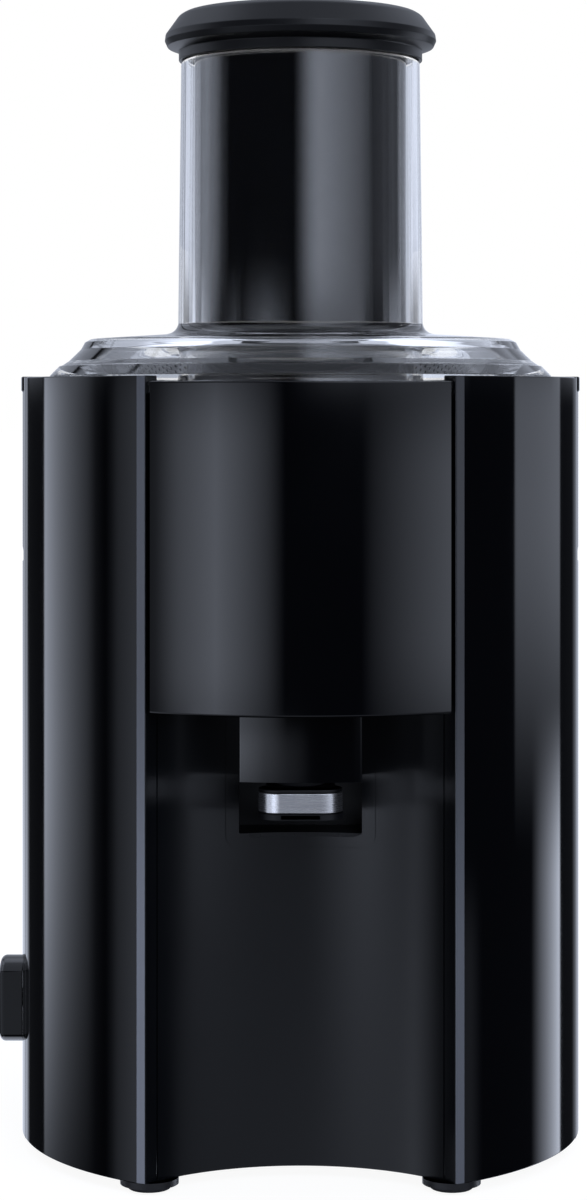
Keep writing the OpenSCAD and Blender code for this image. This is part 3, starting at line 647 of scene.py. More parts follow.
def column_plan(s):
    """Plan of the right front column: the outer arc from the bevel to the seam, the inner arc back
    to the corner post, the post's arc to the hollow, the hollow's wall and the bevel. The bevel runs
    from a point a little way along the hollow's wall to one further along the outer arc."""
    outer_from = bay_angle(s, s.body_r) + math.degrees(s.bevel_out / s.body_r)
    inner_r = s.body_r - s.wall
    wall_from, wall_to = bay_turn(s, s.post_r), bay_turn(s, s.body_r) - s.bevel_in / s.bay_r
    post_at, post_to, seam = bay_angle(s, s.post_r), math.degrees(s.post_to), math.degrees(s.seam)
    return np.concatenate([
        arc(s.body_r, outer_from, seam, 48),
        arc(inner_r, seam, post_to, 40),
        arc(s.post_r, post_to, post_at, 6)[:-1],
        bay_point(s, np.linspace(wall_from, wall_to, 8) * s.bay_r),
    ])


def paint_column(piece, plan, s, side):
    """Gives the bevel, between the plan's last point and its first, its colour of painted reflection, and
    the strip of the hollow's wall beside it its own finish."""
    # The bevel's lighter colour is painted reflection, not the moulding's own colour
    piece.data.materials.append(bevel_painted_reflection(side))
    piece.data.materials.append(bay_black())
    middle_of_bevel = (plan[0] + plan[-1]) / 2 * (side, 1)
    centre = np.empty(len(piece.data.polygons) * 3)
    piece.data.polygons.foreach_get("center", centre)
    centre = centre.reshape(-1, 3)[:, :2] - AXIS[:2]
    bevel = np.hypot(*(centre - middle_of_bevel).T) < 1e-4
    hollow = abs(np.hypot(*(centre + (0, s.bay_ahead)).T) - s.bay_r) < 1e-4
    piece.data.polygons.foreach_set("material_index", (bevel + 2 * hollow).astype(np.int32))


class JUICER_OT_columns(Operator):
    """Front columns: curved gloss walls with a bevelled inner edge beside the jug bay"""

    bl_idname = "juicer.columns"
    bl_label = "Front columns"

    def execute(self, context):
        s = sizes()
        plan = column_plan(s)
        heights = low("front_left_column").z, high("front_left_column").z
        for side, name in ((1, "right"), (-1, "left")):
            piece = build(
                f"{name}_column", [prism(plan * (side, 1), *heights)], gloss_black(), "housing",
                [f"front_{name}_column"], edge=s.edge, sharp=8
            )
            paint_column(piece, plan, s, side)
        return {"FINISHED"}


def side_x(s, y):
    """Plan of a side: on the front circle as far as its tangent point, then on the flat."""
    turn = side_turn(s)
    on_circle = np.sqrt(np.maximum(s.body_r**2 - y**2, 0))
    on_flat = (s.body_r - y * math.sin(turn)) / math.cos(turn)
    return np.where(y < s.body_r * math.sin(turn), on_circle, on_flat)


def rounded_hole(points_a, points_b, centre, hole, reach):
    """Bends the lines of a square grid into a circle round a hole. At the hole's radius a point's
    distance becomes the larger of its two offsets, and further out it fades back to its own."""
    da, db = points_a - centre[0], points_b - centre[1]
    square, true = np.maximum(abs(da), abs(db)), np.hypot(da, db) + 1e-12
    fade = np.clip((reach - square) / (reach - hole), 0, 1)
    scale = 1 + fade * (square / true - 1)
    return centre[0] + da * scale, centre[1] + db * scale


def side_levels(z_low, z_high, stops, around_z, reach, step):
    """Heights of a shell's rows: even ones, closer about one height, and each stop."""
    even = np.linspace(z_low, z_high, 24)
    near = np.arange(around_z - reach, around_z + reach + step / 2, step)
    even = even[abs(even - around_z) > reach + step]
    return np.unique(np.concatenate([even, near, stops]).round(6))


class JUICER_OT_sides(Operator):
    """Side shells: gloss walls with the clamp's slot, the knob's dish and the cord's inlet"""

    bl_idname = "juicer.sides"
    bl_label = "Side shells"

    def execute(self, context):
        s = sizes()
        z_low, z_high = low("left_side_shell").z, high("left_side_shell").z
        clamp_low, clamp_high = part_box("right_clamp")
        # The slot clears the clamp by 0.3 mm below and by 0.5 mm before and behind
        slot_low = clamp_low.z - 0.0003
        slot_y = np.array([clamp_low.y, clamp_high.y]) - AXIS[1] + (-0.0005, 0.0005)
        front = -s.body_r * math.cos(s.seam + 0.0015)
        inlet = middle("cord_inlet")
        knob = middle("switch_knob")
        for side, name in ((1, "right"), (-1, "left")):
            # A hole's place and radius, and how far out the grid bends about it
            if side > 0:
                centre, hole, reach = (inlet.y - AXIS[1], inlet.z), 0.006, 0.0105
            else:
                centre, hole, reach = (knob.y - AXIS[1], knob.z), 0.0035, 0.024
            reach_z = min(reach, centre[1] - z_low - 0.0005)
            near = centre[0] + np.arange(-reach, reach + 1e-6, reach / 28)
            far = np.linspace(front, s.side_end, 40)
            ys = np.unique(np.concatenate([
                far[abs(far - centre[0]) > reach], near[(near > front) & (near < s.side_end)],
                centre[0] + np.array([-hole, hole]), slot_y, [front, s.side_end]
            ]).round(6))
            zs = side_levels(z_low, z_high, [slot_low, centre[1] - hole, centre[1] + hole],
                             centre[1], reach_z, reach / 28)
            y, z = rounded_hole(*np.meshgrid(ys, zs), centre, hole, reach_z)
            x = side_x(s, y)
            if side < 0:
                x = np.minimum(x, knob_dish(s, y, z, centre))
            mid_y, mid_z = (ys[1:] + ys[:-1]) / 2, (zs[1:] + zs[:-1]) / 2
            in_slot = ((mid_y > slot_y[0]) & (mid_y < slot_y[1]))[None, :] & (mid_z > slot_low)[:, None]
            in_hole = (abs(mid_y - centre[0]) < hole)[None, :] & (abs(mid_z - centre[1]) < hole)[:, None]
            points, keep = np.stack([side * x, y, z], -1)[:, ::side], ~(in_slot | in_hole)[:, ::side]
            build(
                f"{name}_shell", [grid(points, keep=keep)], gloss_black(), "housing",
                [f"{name}_side_shell"], edge=s.edge, thickness=s.wall, loose=True
            )
        return {"FINISHED"}


def knob_dish(s, y, z, centre):
    """How far out the shallow dish about the knob lets a side reach: the near face of a large sphere
    whose nearest point lies the dish's depth inside the wall."""
    dish_r, deep = 0.242, 0.0014
    out = np.hypot(y - centre[0], z - centre[1])
    return s.body_r - deep + dish_r - np.sqrt(dish_r**2 - np.minimum(out, dish_r) ** 2)


# How far the pad's own mesh runs past the groove, to where it meets the rest of the wall
PAD_MARGIN = 0.004


def bay_pad(s, top):
    """Pad about the pocket, on the unrolled wall: rings run from the pocket's rectangle out to a
    rounded rectangle, down into the thin groove, up its far side and out to a plain rectangle.
    Every ring is open at the top and has the same points: down one side, along the foot and up."""
    groove, deep, corner = 0.0004, 0.00025, 0.005
    half, foot = s.pad_w / 2, s.pad_low

    def ring(width, bottom, radius, depth):
        t = np.linspace(0, 1, 20)
        turn = np.radians(np.linspace(0, 90, 9))
        corner_x, corner_z = width - radius, bottom + radius
        right = np.stack([np.full(20, width), top + (corner_z - top) * t], -1)
        elbow = np.stack([corner_x + radius * np.cos(turn), corner_z - radius * np.sin(turn)], -1)
        under = np.stack([corner_x * (1 - t), np.full(20, bottom)], -1)
        half_ring = np.concatenate([right, elbow[1:], under[1:]])
        whole = np.concatenate([half_ring, half_ring[-2::-1] * (-1, 1)])
        return np.column_stack([whole, np.full(len(whole), depth)])

    stops = [
        ring(s.pocket_w / 2, s.pocket_low, 0.0006, 0.0),
        ring(half - groove, foot + groove, corner - groove, 0.0),
        ring(half - groove, foot + groove, corner - groove, deep),
        ring(half, foot, corner, deep),
        ring(half, foot, corner, 0.0),
        ring(half + PAD_MARGIN, foot - PAD_MARGIN, 0.0002, 0.0),
    ]
    rings = [stops[0]]
    for before, after, count in zip(stops, stops[1:], (6, 1, 1, 1, 6)):
        rings += [before + (after - before) * t for t in np.linspace(0, 1, count + 1)[1:]]
    flat = np.stack(rings)
    return grid(np.concatenate([bay_point(s, flat[..., 0], flat[..., 2]), flat[..., 1:2]], -1))


class JUICER_OT_bay(Operator):
    """Jug bay: the concave wall, the pad outlined about the spout and the dark pocket in it"""

    bl_idname = "juicer.bay"
    bl_label = "Jug bay"

    def execute(self, context):
        s = sizes()
        z_low, top = low("bay_wall").z, high("bay_wall").z
        end = s.bay_r * bay_turn(s, s.post_r - 0.00015)
        side, foot = s.pad_w / 2 + PAD_MARGIN, s.pad_low - PAD_MARGIN
        across = np.concatenate([np.linspace(-end, -side, 20), np.linspace(-side, side, 40)[1:-1],
                                 np.linspace(side, end, 20)])
        up = np.concatenate([np.linspace(z_low, foot, 12), np.linspace(foot, top, 10)[1:]])
        a, z = np.meshgrid(across, up)
        wall = np.concatenate([bay_point(s, a), z[..., None]], -1)
        mid_a, mid_z = (across[1:] + across[:-1]) / 2, (up[1:] + up[:-1]) / 2
        keep = ~((abs(mid_a) < side)[None, :] & (mid_z > foot)[:, None])
        build(
            "jug_bay_wall", [grid(wall, keep=keep), bay_pad(s, top)], bay_black(), "housing",
            ["bay_wall"], thickness=s.wall * 0.98, sharp=50, loose=True
        )
        self.pocket(s, top)
        return {"FINISHED"}

    def pocket(self, s, top):
        """The recess behind the spout: three upright walls and a floor."""
        half, back = s.pocket_w / 2, -0.045
        front = -s.bay_ahead + math.sqrt(s.bay_r**2 - half**2)
        outline = np.array([[-half, front], [-half, back], [half, back], [half, front]])
        walls = np.stack([lift(outline, z) for z in (s.pocket_low, top)])
        front_edge = bay_point(s, np.linspace(-1, 1, 12) * s.bay_r * math.asin(half / s.bay_r))
        back_edge = np.stack([front_edge[:, 0], np.full(12, back)], -1)
        base = np.stack([lift(front_edge, s.pocket_low), lift(back_edge, s.pocket_low)])
        build(
            "spout_pocket", [grid(walls), grid(base)], cap_black(), "housing",
            thickness=0.0015, loose=True
        )


# ---- Front panel, spout and drip lever ----


class JUICER_OT_front(Operator):
    """Front of the juice bowl: the curved gloss panel, its lower ledge and the spout hood"""

    bl_idname = "juicer.front"
    bl_label = "Front panel and spout hood"

    def execute(self, context):
        s = sizes()
        z_low, z_high = low("front_panel").z, high("front_panel").z
        inner = s.body_r - s.wall
        half = math.degrees(s.panel_half)
        profile = rounded(
            [(s.body_r, z_low), (s.body_r, z_high), (inner, z_high), (inner, z_low)],
            (0.0009, 0.0006, 0.0003, 0.0003)
        )
        shell = swept(profile, -half, half, 121)
        ledge_r = inner - 0.0002
        at, reach = bay_angle(s, ledge_r), s.bay_r * bay_turn(s, ledge_r)
        lens = np.concatenate([
            arc(ledge_r, -at, at, 40), bay_point(s, np.linspace(reach, -reach, 40)[1:-1], -0.0003)
        ])
        build(
            "front_shell", [shell, prism(lens, z_low + 0.0024, z_low + 0.0049)], gloss_black(), "bowl",
            ["front_panel"]
        )
        self.hood(s)
        return {"FINISHED"}

    def hood(self, s):
        """A bowed front with crisp corners, two sides and a back, open below; the lowest part of the
        back is left out for the drip lever."""
        hood_low, hood_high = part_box("spout_hood")
        half = (hood_high.x - hood_low.x) / 2
        back = hood_high.y - AXIS[1]
        corner = math.degrees(math.asin((half - 0.0007) / s.hood_front))
        front = arc(s.hood_front, -corner, corner, 30)
        front_y = front[-1][1]
        curve = bend(front[-1], np.array([half, front_y + 0.0001]), np.array([half, front_y + 0.0008]),
                     np.linspace(0, 1, 6)[1:, None])
        side = np.stack([np.full(8, half), np.linspace(curve[-1][1], back, 8)], -1)[1:]
        behind = np.stack([np.linspace(half, -half, 12), np.full(12, back)], -1)[1:]
        mirrored = np.concatenate([side[::-1][1:], curve[::-1]]) * (-1, 1)
        plan = np.concatenate([front, curve, side, behind, mirrored])
        notch = hood_low.z + 0.023
        points = np.stack([lift(plan, z) for z in (hood_low.z, notch, hood_high.z)])
        first = len(front) + len(curve) + len(side)
        keep = np.ones((2, len(plan)), bool)
        keep[0, first - 1:first + 10] = False
        walls = grid(points, wrap_columns=True, keep=keep)
        top = (lift(plan, hood_high.z), [list(range(len(plan)))])
        build(
            "spout_shell", [walls, top], gloss_black(), "bowl", ["spout_hood"],
            thickness=0.002, edge=0.0009
        )


def head_outline(s, centre_y, r):
    """Plan of the drip lever's head: two round ends joined by flats in front and behind."""
    right = arc(r, 0, 180, 14, (s.head_x, centre_y))
    left = arc(r, 180, 360, 14, (-s.head_x, centre_y))
    return np.concatenate([right, left])


class JUICER_OT_lever(Operator):
    """Drip lever: the dark moulded lever and its bright steel tab"""

    bl_idname = "juicer.lever"
    bl_label = "Drip lever"

    def execute(self, context):
        s = sizes()
        tab_low, tab_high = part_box("lever_tab")
        head_low = low("drip_lever").z
        centre_y = tab_low.y - AXIS[1] + s.head_r
        thick = 0.0008
        left = arc(s.head_r, -82, 0, 16, (-s.head_x, centre_y))
        front = np.concatenate([left, left[::-1] * (-1, 1)])
        points = np.stack([lift(front, z) for z in np.linspace(tab_low.z, tab_high.z, 3)])
        build("steel_tab", [grid(points)], satin_steel(), "lever", ["lever_tab"],
              edge=0.0002, thickness=thick, loose=True)
        head_top = tab_high.z + 0.0013
        parts = [
            prism(head_outline(s, centre_y, s.head_r - thick - 0.0001), head_low, head_top),
            prism(head_outline(s, centre_y, s.head_r + 0.0002), head_low, tab_low.z - 0.0004),
            prism(head_outline(s, centre_y, s.head_r - 0.0001), tab_high.z + 0.0002, head_top),
        ]
        build("lever_head", parts, cap_black(), "lever", edge=0.0003)
        smooth_copy("lever_arm", "drip_lever", cap_black())
        return {"FINISHED"}


# ---- Lid, chute and pusher ----


# How far in from its foot the lid's top begins, the heights between which its shoulder takes up
# the drop to the rear, the plateau (its height at the middle, its reach and its edge's height), and
# how far the top falls from the plateau's edge to the rim
LID_TOP_IN = 0.0152
LID_SHOULDER = (0.2955, 0.2982)
LID_PLATEAU = (0.3016, 0.050, 0.3012)
LID_FALL = 0.0019


def lid_profile(foot):
    """Outside of the lid, from the foot up to the edge of its top: (how far the outline has shrunk,
    height) points, with the steps softly rounded."""
    corners = [
        (0.01, foot), (0.0, foot), (0.0, 0.2857), (0.0036, 0.2893), (0.0046, 0.2895), (0.0072, 0.2912),
        (0.0116, LID_SHOULDER[0]), (0.0131, LID_SHOULDER[1]), (LID_TOP_IN, 0.2993), (0.03, 0.3)
    ]
    return rounded(corners, [0, 0, 0.0006, 0.0003, 0.0004, 0.0006, 0.0008, 0.0008, 0, 0], 4)[1:-1]


def lid_height(s, place):
    """Height of the lid's top: it rises from its rim to a gentle plateau about the line between the
    two centres, by the distance from that line, and the whole of it drops towards the rear."""
    t = np.clip(place[:, 1] / s.rear_y, 0, 1)
    out = np.hypot(place[:, 0], place[:, 1] - np.clip(place[:, 1], 0, s.rear_y))
    rim = (s.lid_r - LID_TOP_IN) * (1 - t) + (s.lid_rear_r - LID_TOP_IN) * t
    peak, reach, edge = LID_PLATEAU
    plateau = np.interp(out, [0, reach], [peak, edge])
    return plateau - s.lid_drop * t - LID_FALL * np.clip((out - reach) / (rim - reach), 0, 1)


def lid_ring(s, shrink, z, count):
    """One level of the lid: the egg outline drawn in by shrink, dropped towards the rear."""
    outline = egg(s.lid_r - shrink, s.lid_rear_r - shrink, s, count)
    drop = s.lid_drop * np.clip(outline[:, 1] / s.rear_y, 0, 1) * np.interp(z, LID_SHOULDER, [0, 1])
    return lift(outline, z - drop)


def lid_top(s, shrink, under, foot_r, count):
    """Rings across the top, from the edge of the lid to the chute's foot: each is a blend of the
    egg outline and of the circle whose points lie in the same directions from the chute's axis.
    Under is how far the rings lie below the outside."""
    outline = egg(s.lid_r - shrink, s.lid_rear_r - shrink, s, count)
    centre = np.array([0, -s.chute_ahead])
    way = (outline - centre) / np.linalg.norm(outline - centre, axis=1)[:, None]
    rings = []
    for t in np.linspace(0, 1, 16):
        place = outline * (1 - t) + (centre + way * foot_r) * t
        rings.append(lift(place, lid_height(s, place) - under))
    return rings, way


class JUICER_OT_lid(Operator):
    """Clear lid: one solid of clear plastic, from the rim over the top and up the chute, and back
    down the bore and along the inside; and the flange that it rests on"""

    bl_idname = "juicer.lid"
    bl_label = "Lid and chute"

    def execute(self, context):
        s = sizes()
        count = s.steps
        foot = low("lid_cover").z
        chute_end, mouth = low("feed_chute").z, high("feed_chute").z
        outside = [lid_ring(s, d, z, count) for d, z in lid_profile(foot)]
        collar = s.chute_foot + 0.0042
        top, way = lid_top(s, LID_TOP_IN, 0.0, collar, count)
        centre = np.array([0, -s.chute_ahead])

        def ring(r, z):
            return lift(centre + way * r, z)

        edge_z, flare_top = top[-1][:, 2], 0.3048
        flare = [ring(s.chute_foot + out, edge_z + (flare_top - edge_z) * up)
                 for out, up in ((0.0024, 0.15), (0.0012, 0.38), (0.0004, 0.68), (0.0, 1.0))]
        soft = 0.0008
        chute = [
            ring(s.chute_r, mouth - soft), ring(s.chute_r - 0.0003, mouth - 0.0002),
            ring(s.chute_r - soft, mouth), ring(s.chute_bore + soft, mouth),
            ring(s.chute_bore + 0.0002, mouth - 0.0002), ring(s.chute_bore, mouth - soft),
            ring(s.chute_bore, 0.29), ring(s.chute_bore, chute_end + 0.0004),
            ring(s.chute_bore + 0.0004, chute_end), ring(s.chute_foot - 0.0004, chute_end),
            ring(s.chute_foot, chute_end + 0.0004),
        ]
        inner_top, _ = lid_top(s, LID_TOP_IN + 0.0002, s.lid_t, s.chute_foot, count)
        inner = [lid_ring(s, d, z, count) for d, z in (
            (0.0060, foot), (0.0060, 0.2880), (0.0066, 0.2890), (0.0131, 0.2939), (0.0140, 0.2950))]
        loop = outside + top[1:] + flare + chute + inner_top[::-1][:-1] + inner[::-1]
        solid = grid(np.stack(loop), wrap_rows=True, wrap_columns=True)
        build("clear_lid", [solid], clear_plastic(), "lid", ["lid_cover", "feed_chute"],
              sharp=40)
        self.flange(s, foot)
        return {"FINISHED"}

    def flange(self, s, foot):
        """The flat rim that the lid rests on, narrow inside the bowl's rim and wide behind it."""
        plate, narrow_r = 0.283, 0.0975
        inner = egg(s.lid_r + 0.0001, s.lid_rear_r + 0.0001, s, s.steps)
        wide = egg(s.body_r - 0.0003, s.rear_r - 0.0003, s, s.steps)
        narrow = inner * (narrow_r / (s.lid_r + 0.0001))
        back = (inner[:, 1] > s.side_end)[:, None]
        outer = np.where(back, wide, narrow)
        rings = [lift(inner, foot), lift(outer, foot), lift(outer, plate), lift(inner, plate)]
        build("lid_flange", [grid(np.stack(rings), wrap_rows=True, wrap_columns=True)],
              clear_plastic(), "lid", edge=0.0003)


class JUICER_OT_pusher(Operator):
    """Pusher: the gloss tube and its matt cap, both turned"""

    bl_idname = "juicer.pusher"
    bl_label = "Pusher"

    def execute(self, context):
        s = sizes()
        centre = (0, -s.chute_ahead)
        bottom, top = low("pusher_tube").z, high("pusher_tube").z
        collar, height = low("pusher_cap").z, high("pusher_cap").z
        inner, fit = s.pusher_r - 0.0025, s.pusher_r + 0.0001
        tube = rounded(
            [(0, bottom), (s.pusher_r, bottom), (s.pusher_r, top), (inner, top), (inner, bottom + 0.003),
             (0, bottom + 0.003)], [0, 0.0012, 0, 0, 0.0008, 0]
        )
        build("pusher_barrel", [turned(tube, s, centre)], gloss_black(), "pusher",
              ["pusher_tube"])
        cap = rounded(
            [(0, height), (0.0430, height), (0.0453, height - 0.0014), (0.0501, height - 0.0081),
             (0.0504, height - 0.0103), (0.0494, height - 0.0125), (0.0452, height - 0.0140),
             (0.0452, collar), (fit, collar), (fit, height - 0.004), (0, height - 0.0035)],
            [0, 0.004, 0.004, 0.0012, 0.0008, 0.0006, 0.0006, 0.0004, 0.0003, 0.0004, 0], 6
        )
        build("cap_moulding", [turned(cap, s, centre)], cap_black(), "pusher",
              ["pusher_cap"], sharp=50)
        return {"FINISHED"}


# ---- Clamps, knob, container and feet ----


class JUICER_OT_clamps(Operator):
    """Side clamps: gloss plates that close flush over the lid's flange"""

    bl_idname = "juicer.clamps"
    bl_label = "Side clamps"

    def execute(self, context):
        s = sizes()
        pivot_x, pivot_z, heel = 0.0994, 0.222, 0.0053
        inner, hook_r, lip = 0.1005, 0.095, 0.0005
        lip_low, hook_low, top = 0.2802, 0.2833, high("right_clamp").z
        a = np.radians(np.linspace(0, 180, 14))
        heel_round = np.stack([pivot_x + heel * np.cos(a), pivot_z - heel * np.sin(a)], -1)
        heel_round = heel_round[heel_round[:, 0] < s.body_r]
        rest = rounded(
            [(inner, pivot_z), (inner, hook_low), (hook_r, hook_low), (hook_r, top),
             (s.body_r + lip, top), (s.body_r + lip, lip_low), (s.body_r, lip_low - 0.0006)],
            [0, 0.0003, 0.0003, 0.0004, 0.0006, 0.0003, 0], 4
        )
        profile = np.concatenate([[(s.body_r, pivot_z)], heel_round, rest])
        for side, name in ((0, "right"), (180, "left")):
            build(
                f"{name}_clamp_plate", [swept(profile, 80.5 + side, 99.5 + side, 40)], gloss_black(),
                f"{name}_latch", [f"{name}_clamp"], edge=0.0003
            )
        return {"FINISHED"}


class JUICER_OT_knob(Operator):
    """Switch knob: a round knob cut to two grip flats, its face softly rounded"""

    bl_idname = "juicer.knob"
    bl_label = "Switch knob"

    def execute(self, context):
        s = sizes()
        knob_low, knob_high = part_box("switch_knob")
        centre = middle("switch_knob")
        flat = s.knob_w / 2
        tip = math.degrees(math.asin(flat / s.knob_r))
        upper = arc(s.knob_r, 180 - tip, 180 + tip, 20)
        lower = arc(s.knob_r, -tip, tip, 20)
        outline = np.concatenate([lower, upper])
        depth = knob_high.x - knob_low.x
        soft = 0.0022
        turn = np.radians(np.linspace(0, 90, 7))
        insets = [0.0, *(soft * (1 - np.cos(turn)))]
        places = [0.0, *(depth - soft + soft * np.sin(turn))]
        rings = []
        for inset, out in zip(insets, places):
            shrink = 1 - inset / s.knob_r
            across = outline * (1 - inset / flat, shrink)
            rings.append(np.stack([
                np.full(len(outline), knob_high.x - out), centre.y + across[:, 0], centre.z - across[:, 1]
            ], -1))
        build("knob_grip", [grid(np.stack(rings), wrap_columns=True, caps=True)], gloss_black(), "knob",
              ["switch_knob"], on_axis=False, edge=0.0003)
        return {"FINISHED"}


def container_plan(s, inset):
    """Plan of the pulp container: flat sides and a round rear end outside, and in front the arc that
    clears the motor tower. Inset draws all of it inwards by a wall's thickness."""
    front, back = s.body_r - inset, s.rear_r - inset
    start = s.side_end + 0.0005 + inset
    turn = side_turn(s)
    tower = s.tower_gap + inset
    ends = (back * math.cos(turn), s.rear_y + back * math.sin(turn))
    start_x = (front - start * math.sin(turn)) / math.cos(turn)
    side = np.stack([np.linspace(start_x, ends[0], 24), np.linspace(start, ends[1], 24)], -1)
    behind = arc(back, 90 + math.degrees(turn), 270 - math.degrees(turn), 180, (0, s.rear_y))[1:-1]
    meet = math.degrees(math.acos(-start / tower))
    inner = arc(tower, 360 - meet, meet, 80)
    land = np.linspace(0, 1, 6)[1:-1, None]
    left_land = side[0] * (-1, 1) * (1 - land) + inner[0] * land
    right_land = inner[-1] * (1 - land) + side[0] * land
    return np.concatenate([side, behind, side[::-1] * (-1, 1), left_land, inner, right_land])


def scoop(points, s, grow):
    """Presses the finger scoop into the rear: y becomes the smooth minimum of itself and the near
    face of a sphere behind the container."""
    r, centre_y, centre_z, blend = 0.040 + grow, s.rear_y + s.rear_r + 0.030, 0.215, 0.002
    x, y, z = points[..., 0], points[..., 1], points[..., 2]
    left = r**2 - x**2 - (z - centre_z) ** 2
    face = centre_y - np.sqrt(np.maximum(left, 0))
    face = np.where((left > 0) & (y > s.rear_y), face, 1.0)
    h = np.clip(0.5 + (face - y) / (2 * blend), 0, 1)
    points[..., 1] = face * (1 - h) + y * h - blend * h * (1 - h)
    return points


class JUICER_OT_container(Operator):
    """Pulp container: the rounded tub behind, its lowered front wall and its finger scoop"""

    bl_idname = "juicer.container"
    bl_label = "Pulp container"

    def execute(self, context):
        s = sizes()
        bin_low, bin_high = low("pulp_container").z, high("pulp_container").z
        wall, front_top, clear_r = 0.0022, 0.2645, 0.0982
        levels = np.concatenate([
            np.linspace(0, 0.66, 14), np.linspace(0.66, 0.92, 44)[1:], np.linspace(0.92, 1, 5)[1:]
        ])

        def rings(inset, base, grow):
            plan = container_plan(s, inset)
            near = np.hypot(*plan.T) < clear_r
            tops = np.where(near, front_top, bin_high)
            points = np.stack([lift(plan, base + (tops - base) * t) for t in levels])
            return scoop(points, s, grow)

        outside = rings(0.0, bin_low, 0.0)
        inside = rings(wall, bin_low + wall, wall)
        points = np.concatenate([outside, inside[::-1]])
        build("container_tub", [grid(points, wrap_columns=True, caps=True)], gloss_black(),
              "container", ["pulp_container"], sharp=38)
        return {"FINISHED"}


class JUICER_OT_feet(Operator):
    """Feet: dark bosses under the base and the rubber pads in them"""

    bl_idname = "juicer.feet"
    bl_label = "Feet"

    def execute(self, context):
        s = sizes()
        boss_r, pad_r, pad_h = 0.0103, 0.0075, 0.003
        tray, base = low("base_tray").z, low("front_left_column").z
        boss = rounded([(0, tray), (boss_r, tray), (boss_r, base), (0, base)], [0, 0.0007, 0, 0])
        pad = rounded([(0, 0), (pad_r, 0), (pad_r, pad_h), (0, pad_h)], [0, 0.0006, 0, 0])
        places = [(0.053, -0.0778), (-0.053, -0.0778), (0.050, 0.150), (-0.050, 0.150)]
        build("foot_bosses", [turned(boss, s, at, steps=64) for at in places], dark_plastic(),
              "housing", sharp=50)
        build("rubber_feet", [turned(pad, s, at, steps=64) for at in places], rubber(),
              "housing", ["foot_pads"], sharp=50)
        return {"FINISHED"}


# ---- Basket ----


class JUICER_OT_basket(Operator):
    """Basket: the fine steel sieve with its rows of slits, and the toothed grater disc"""

    bl_idname = "juicer.basket"
    bl_label = "Basket"

    def execute(self, context):
        s = sizes()
        self.sieve(s)
        self.grater(s)
        return {"FINISHED"}

    def sieve(self, s):
        """The cone is cut into a lattice of small cells, each a ring of quads about a slit."""
        z_low, z_high = low("sieve_cone").z, high("sieve_cone").z
        around, rows = 110, 13
        margin = 0.0025
        cell_w, cell_h = 2 * math.pi / around, (z_high - z_low - 2 * margin) / rows
        corner = np.array([(-0.5, -0.5), (0.5, -0.5), (0.5, 0.5), (-0.5, 0.5)])
        hole = corner * (0.36, 0.62)
        column, row = np.meshgrid(np.arange(around), np.arange(rows), indexing="ij")
        u0 = (column + 0.5 * (row % 2)) * cell_w
        v0 = z_low + margin + (row + 0.5) * cell_h
        both = np.concatenate([corner, hole])
        u = (u0[..., None] + both[:, 0] * cell_w).reshape(-1)
        z = (v0[..., None] + both[:, 1] * cell_h).reshape(-1)
        start = np.arange(around * rows)[:, None, None] * 8
        side = np.array([[i, (i + 1) % 4, 4 + (i + 1) % 4, 4 + i] for i in range(4)])
        faces = (start + side).reshape(-1, 4).tolist()

        def place(u, z):
            t = (z - z_low) / (z_high - z_low)
            r = s.sieve_foot + (s.sieve_rim - s.sieve_foot) * t
            return np.stack([r * np.sin(u), -r * np.cos(u), z], -1)

        turn = np.arange(2 * around) * cell_w / 2

        def band(*heights):
            rings = [place(turn, np.full(len(turn), height)) for height in heights]
            return grid(np.stack(rings), wrap_columns=True)

        bands = [band(z_low, z_low + margin), band(z_high - margin, z_high)]
        build("sieve", [(place(u, z), faces), *bands], basket_steel(), "basket",
              ["sieve_cone"], thickness=0.0005, loose=True)

    def grater(self, s):
        """A flat disc with a small middle hole. Its teeth, each a small half cone, stand in a spiral
        that turns by the golden angle from one to the next."""
        z = low("grater_disc").z
        thick, r = 0.001, 0.060
        disc = rounded([(0.003, z), (r, z), (r, z + thick), (0.003, z + thick)], [0, 0.0003, 0.0004, 0])
        count = 150
        n = np.arange(count)
        reach = 0.012 + 0.045 * np.sqrt((n + 0.5) / count)
        turn = n * math.pi * (3 - math.sqrt(5))
        centre = np.stack([reach * np.sin(turn), -reach * np.cos(turn)], -1)
        out = centre / reach[:, None]
        along = np.stack([-out[:, 1], out[:, 0]], -1)
        tooth_r, tooth_h = 0.0014, 0.0018
        a = np.linspace(0, math.pi, 6)[:, None]
        base = centre[:, None] + tooth_r * (np.cos(a) * out[:, None] + np.sin(a) * along[:, None])
        ring = np.concatenate([base, np.full((count, 6, 1), z + thick - 0.0001)], -1)
        tip = np.concatenate([centre, np.full((count, 1), z + thick + tooth_h)], -1)[:, None]
        points = np.concatenate([ring, tip], 1).reshape(-1, 3)
        start = np.arange(count)[:, None, None] * 7
        side = np.array([[i, i + 1, 6] for i in range(5)] + [[5, 0, 6]])
        faces = (start + side).reshape(-1, 3).tolist()
        faces += (np.arange(count)[:, None] * 7 + np.arange(6)[::-1]).tolist()
        build("grater", [turned(disc, s), (points, faces)], basket_steel(), "basket",
              ["grater_disc"], sharp=30)


class JUICER_OT_inside(Operator):
    """Everything else: mouldings seen when it comes apart, shaded smooth, and the motor's finishes"""

    bl_idname = "juicer.inside"
    bl_label = "Inner parts"

    def execute(self, context):
        finishes = inner_finishes()
        slots = {part["node"]: part["material_slot"] for part in frame["record"]["subparts"]}
        for name in ("base_tray", "rear_cover", "top_deck", "bowl_cradle", "juice_bowl", "bowl_floor",
                     "bowl_rim", "bowl_chimney", "spout_tube", "basket_hub", "basket_rim",
                     "drive_coupling", "shaft_seal", "cord_inlet", "drip_seal"):
            smooth_copy(f"{name}_moulding", name, finishes[slots[name]])
        for name, piece in frame["nodes"].items():
            piece.data.materials.clear()
            piece.data.materials.append(finishes[slots[name]])
        return {"FINISHED"}


# ---- Stage ----


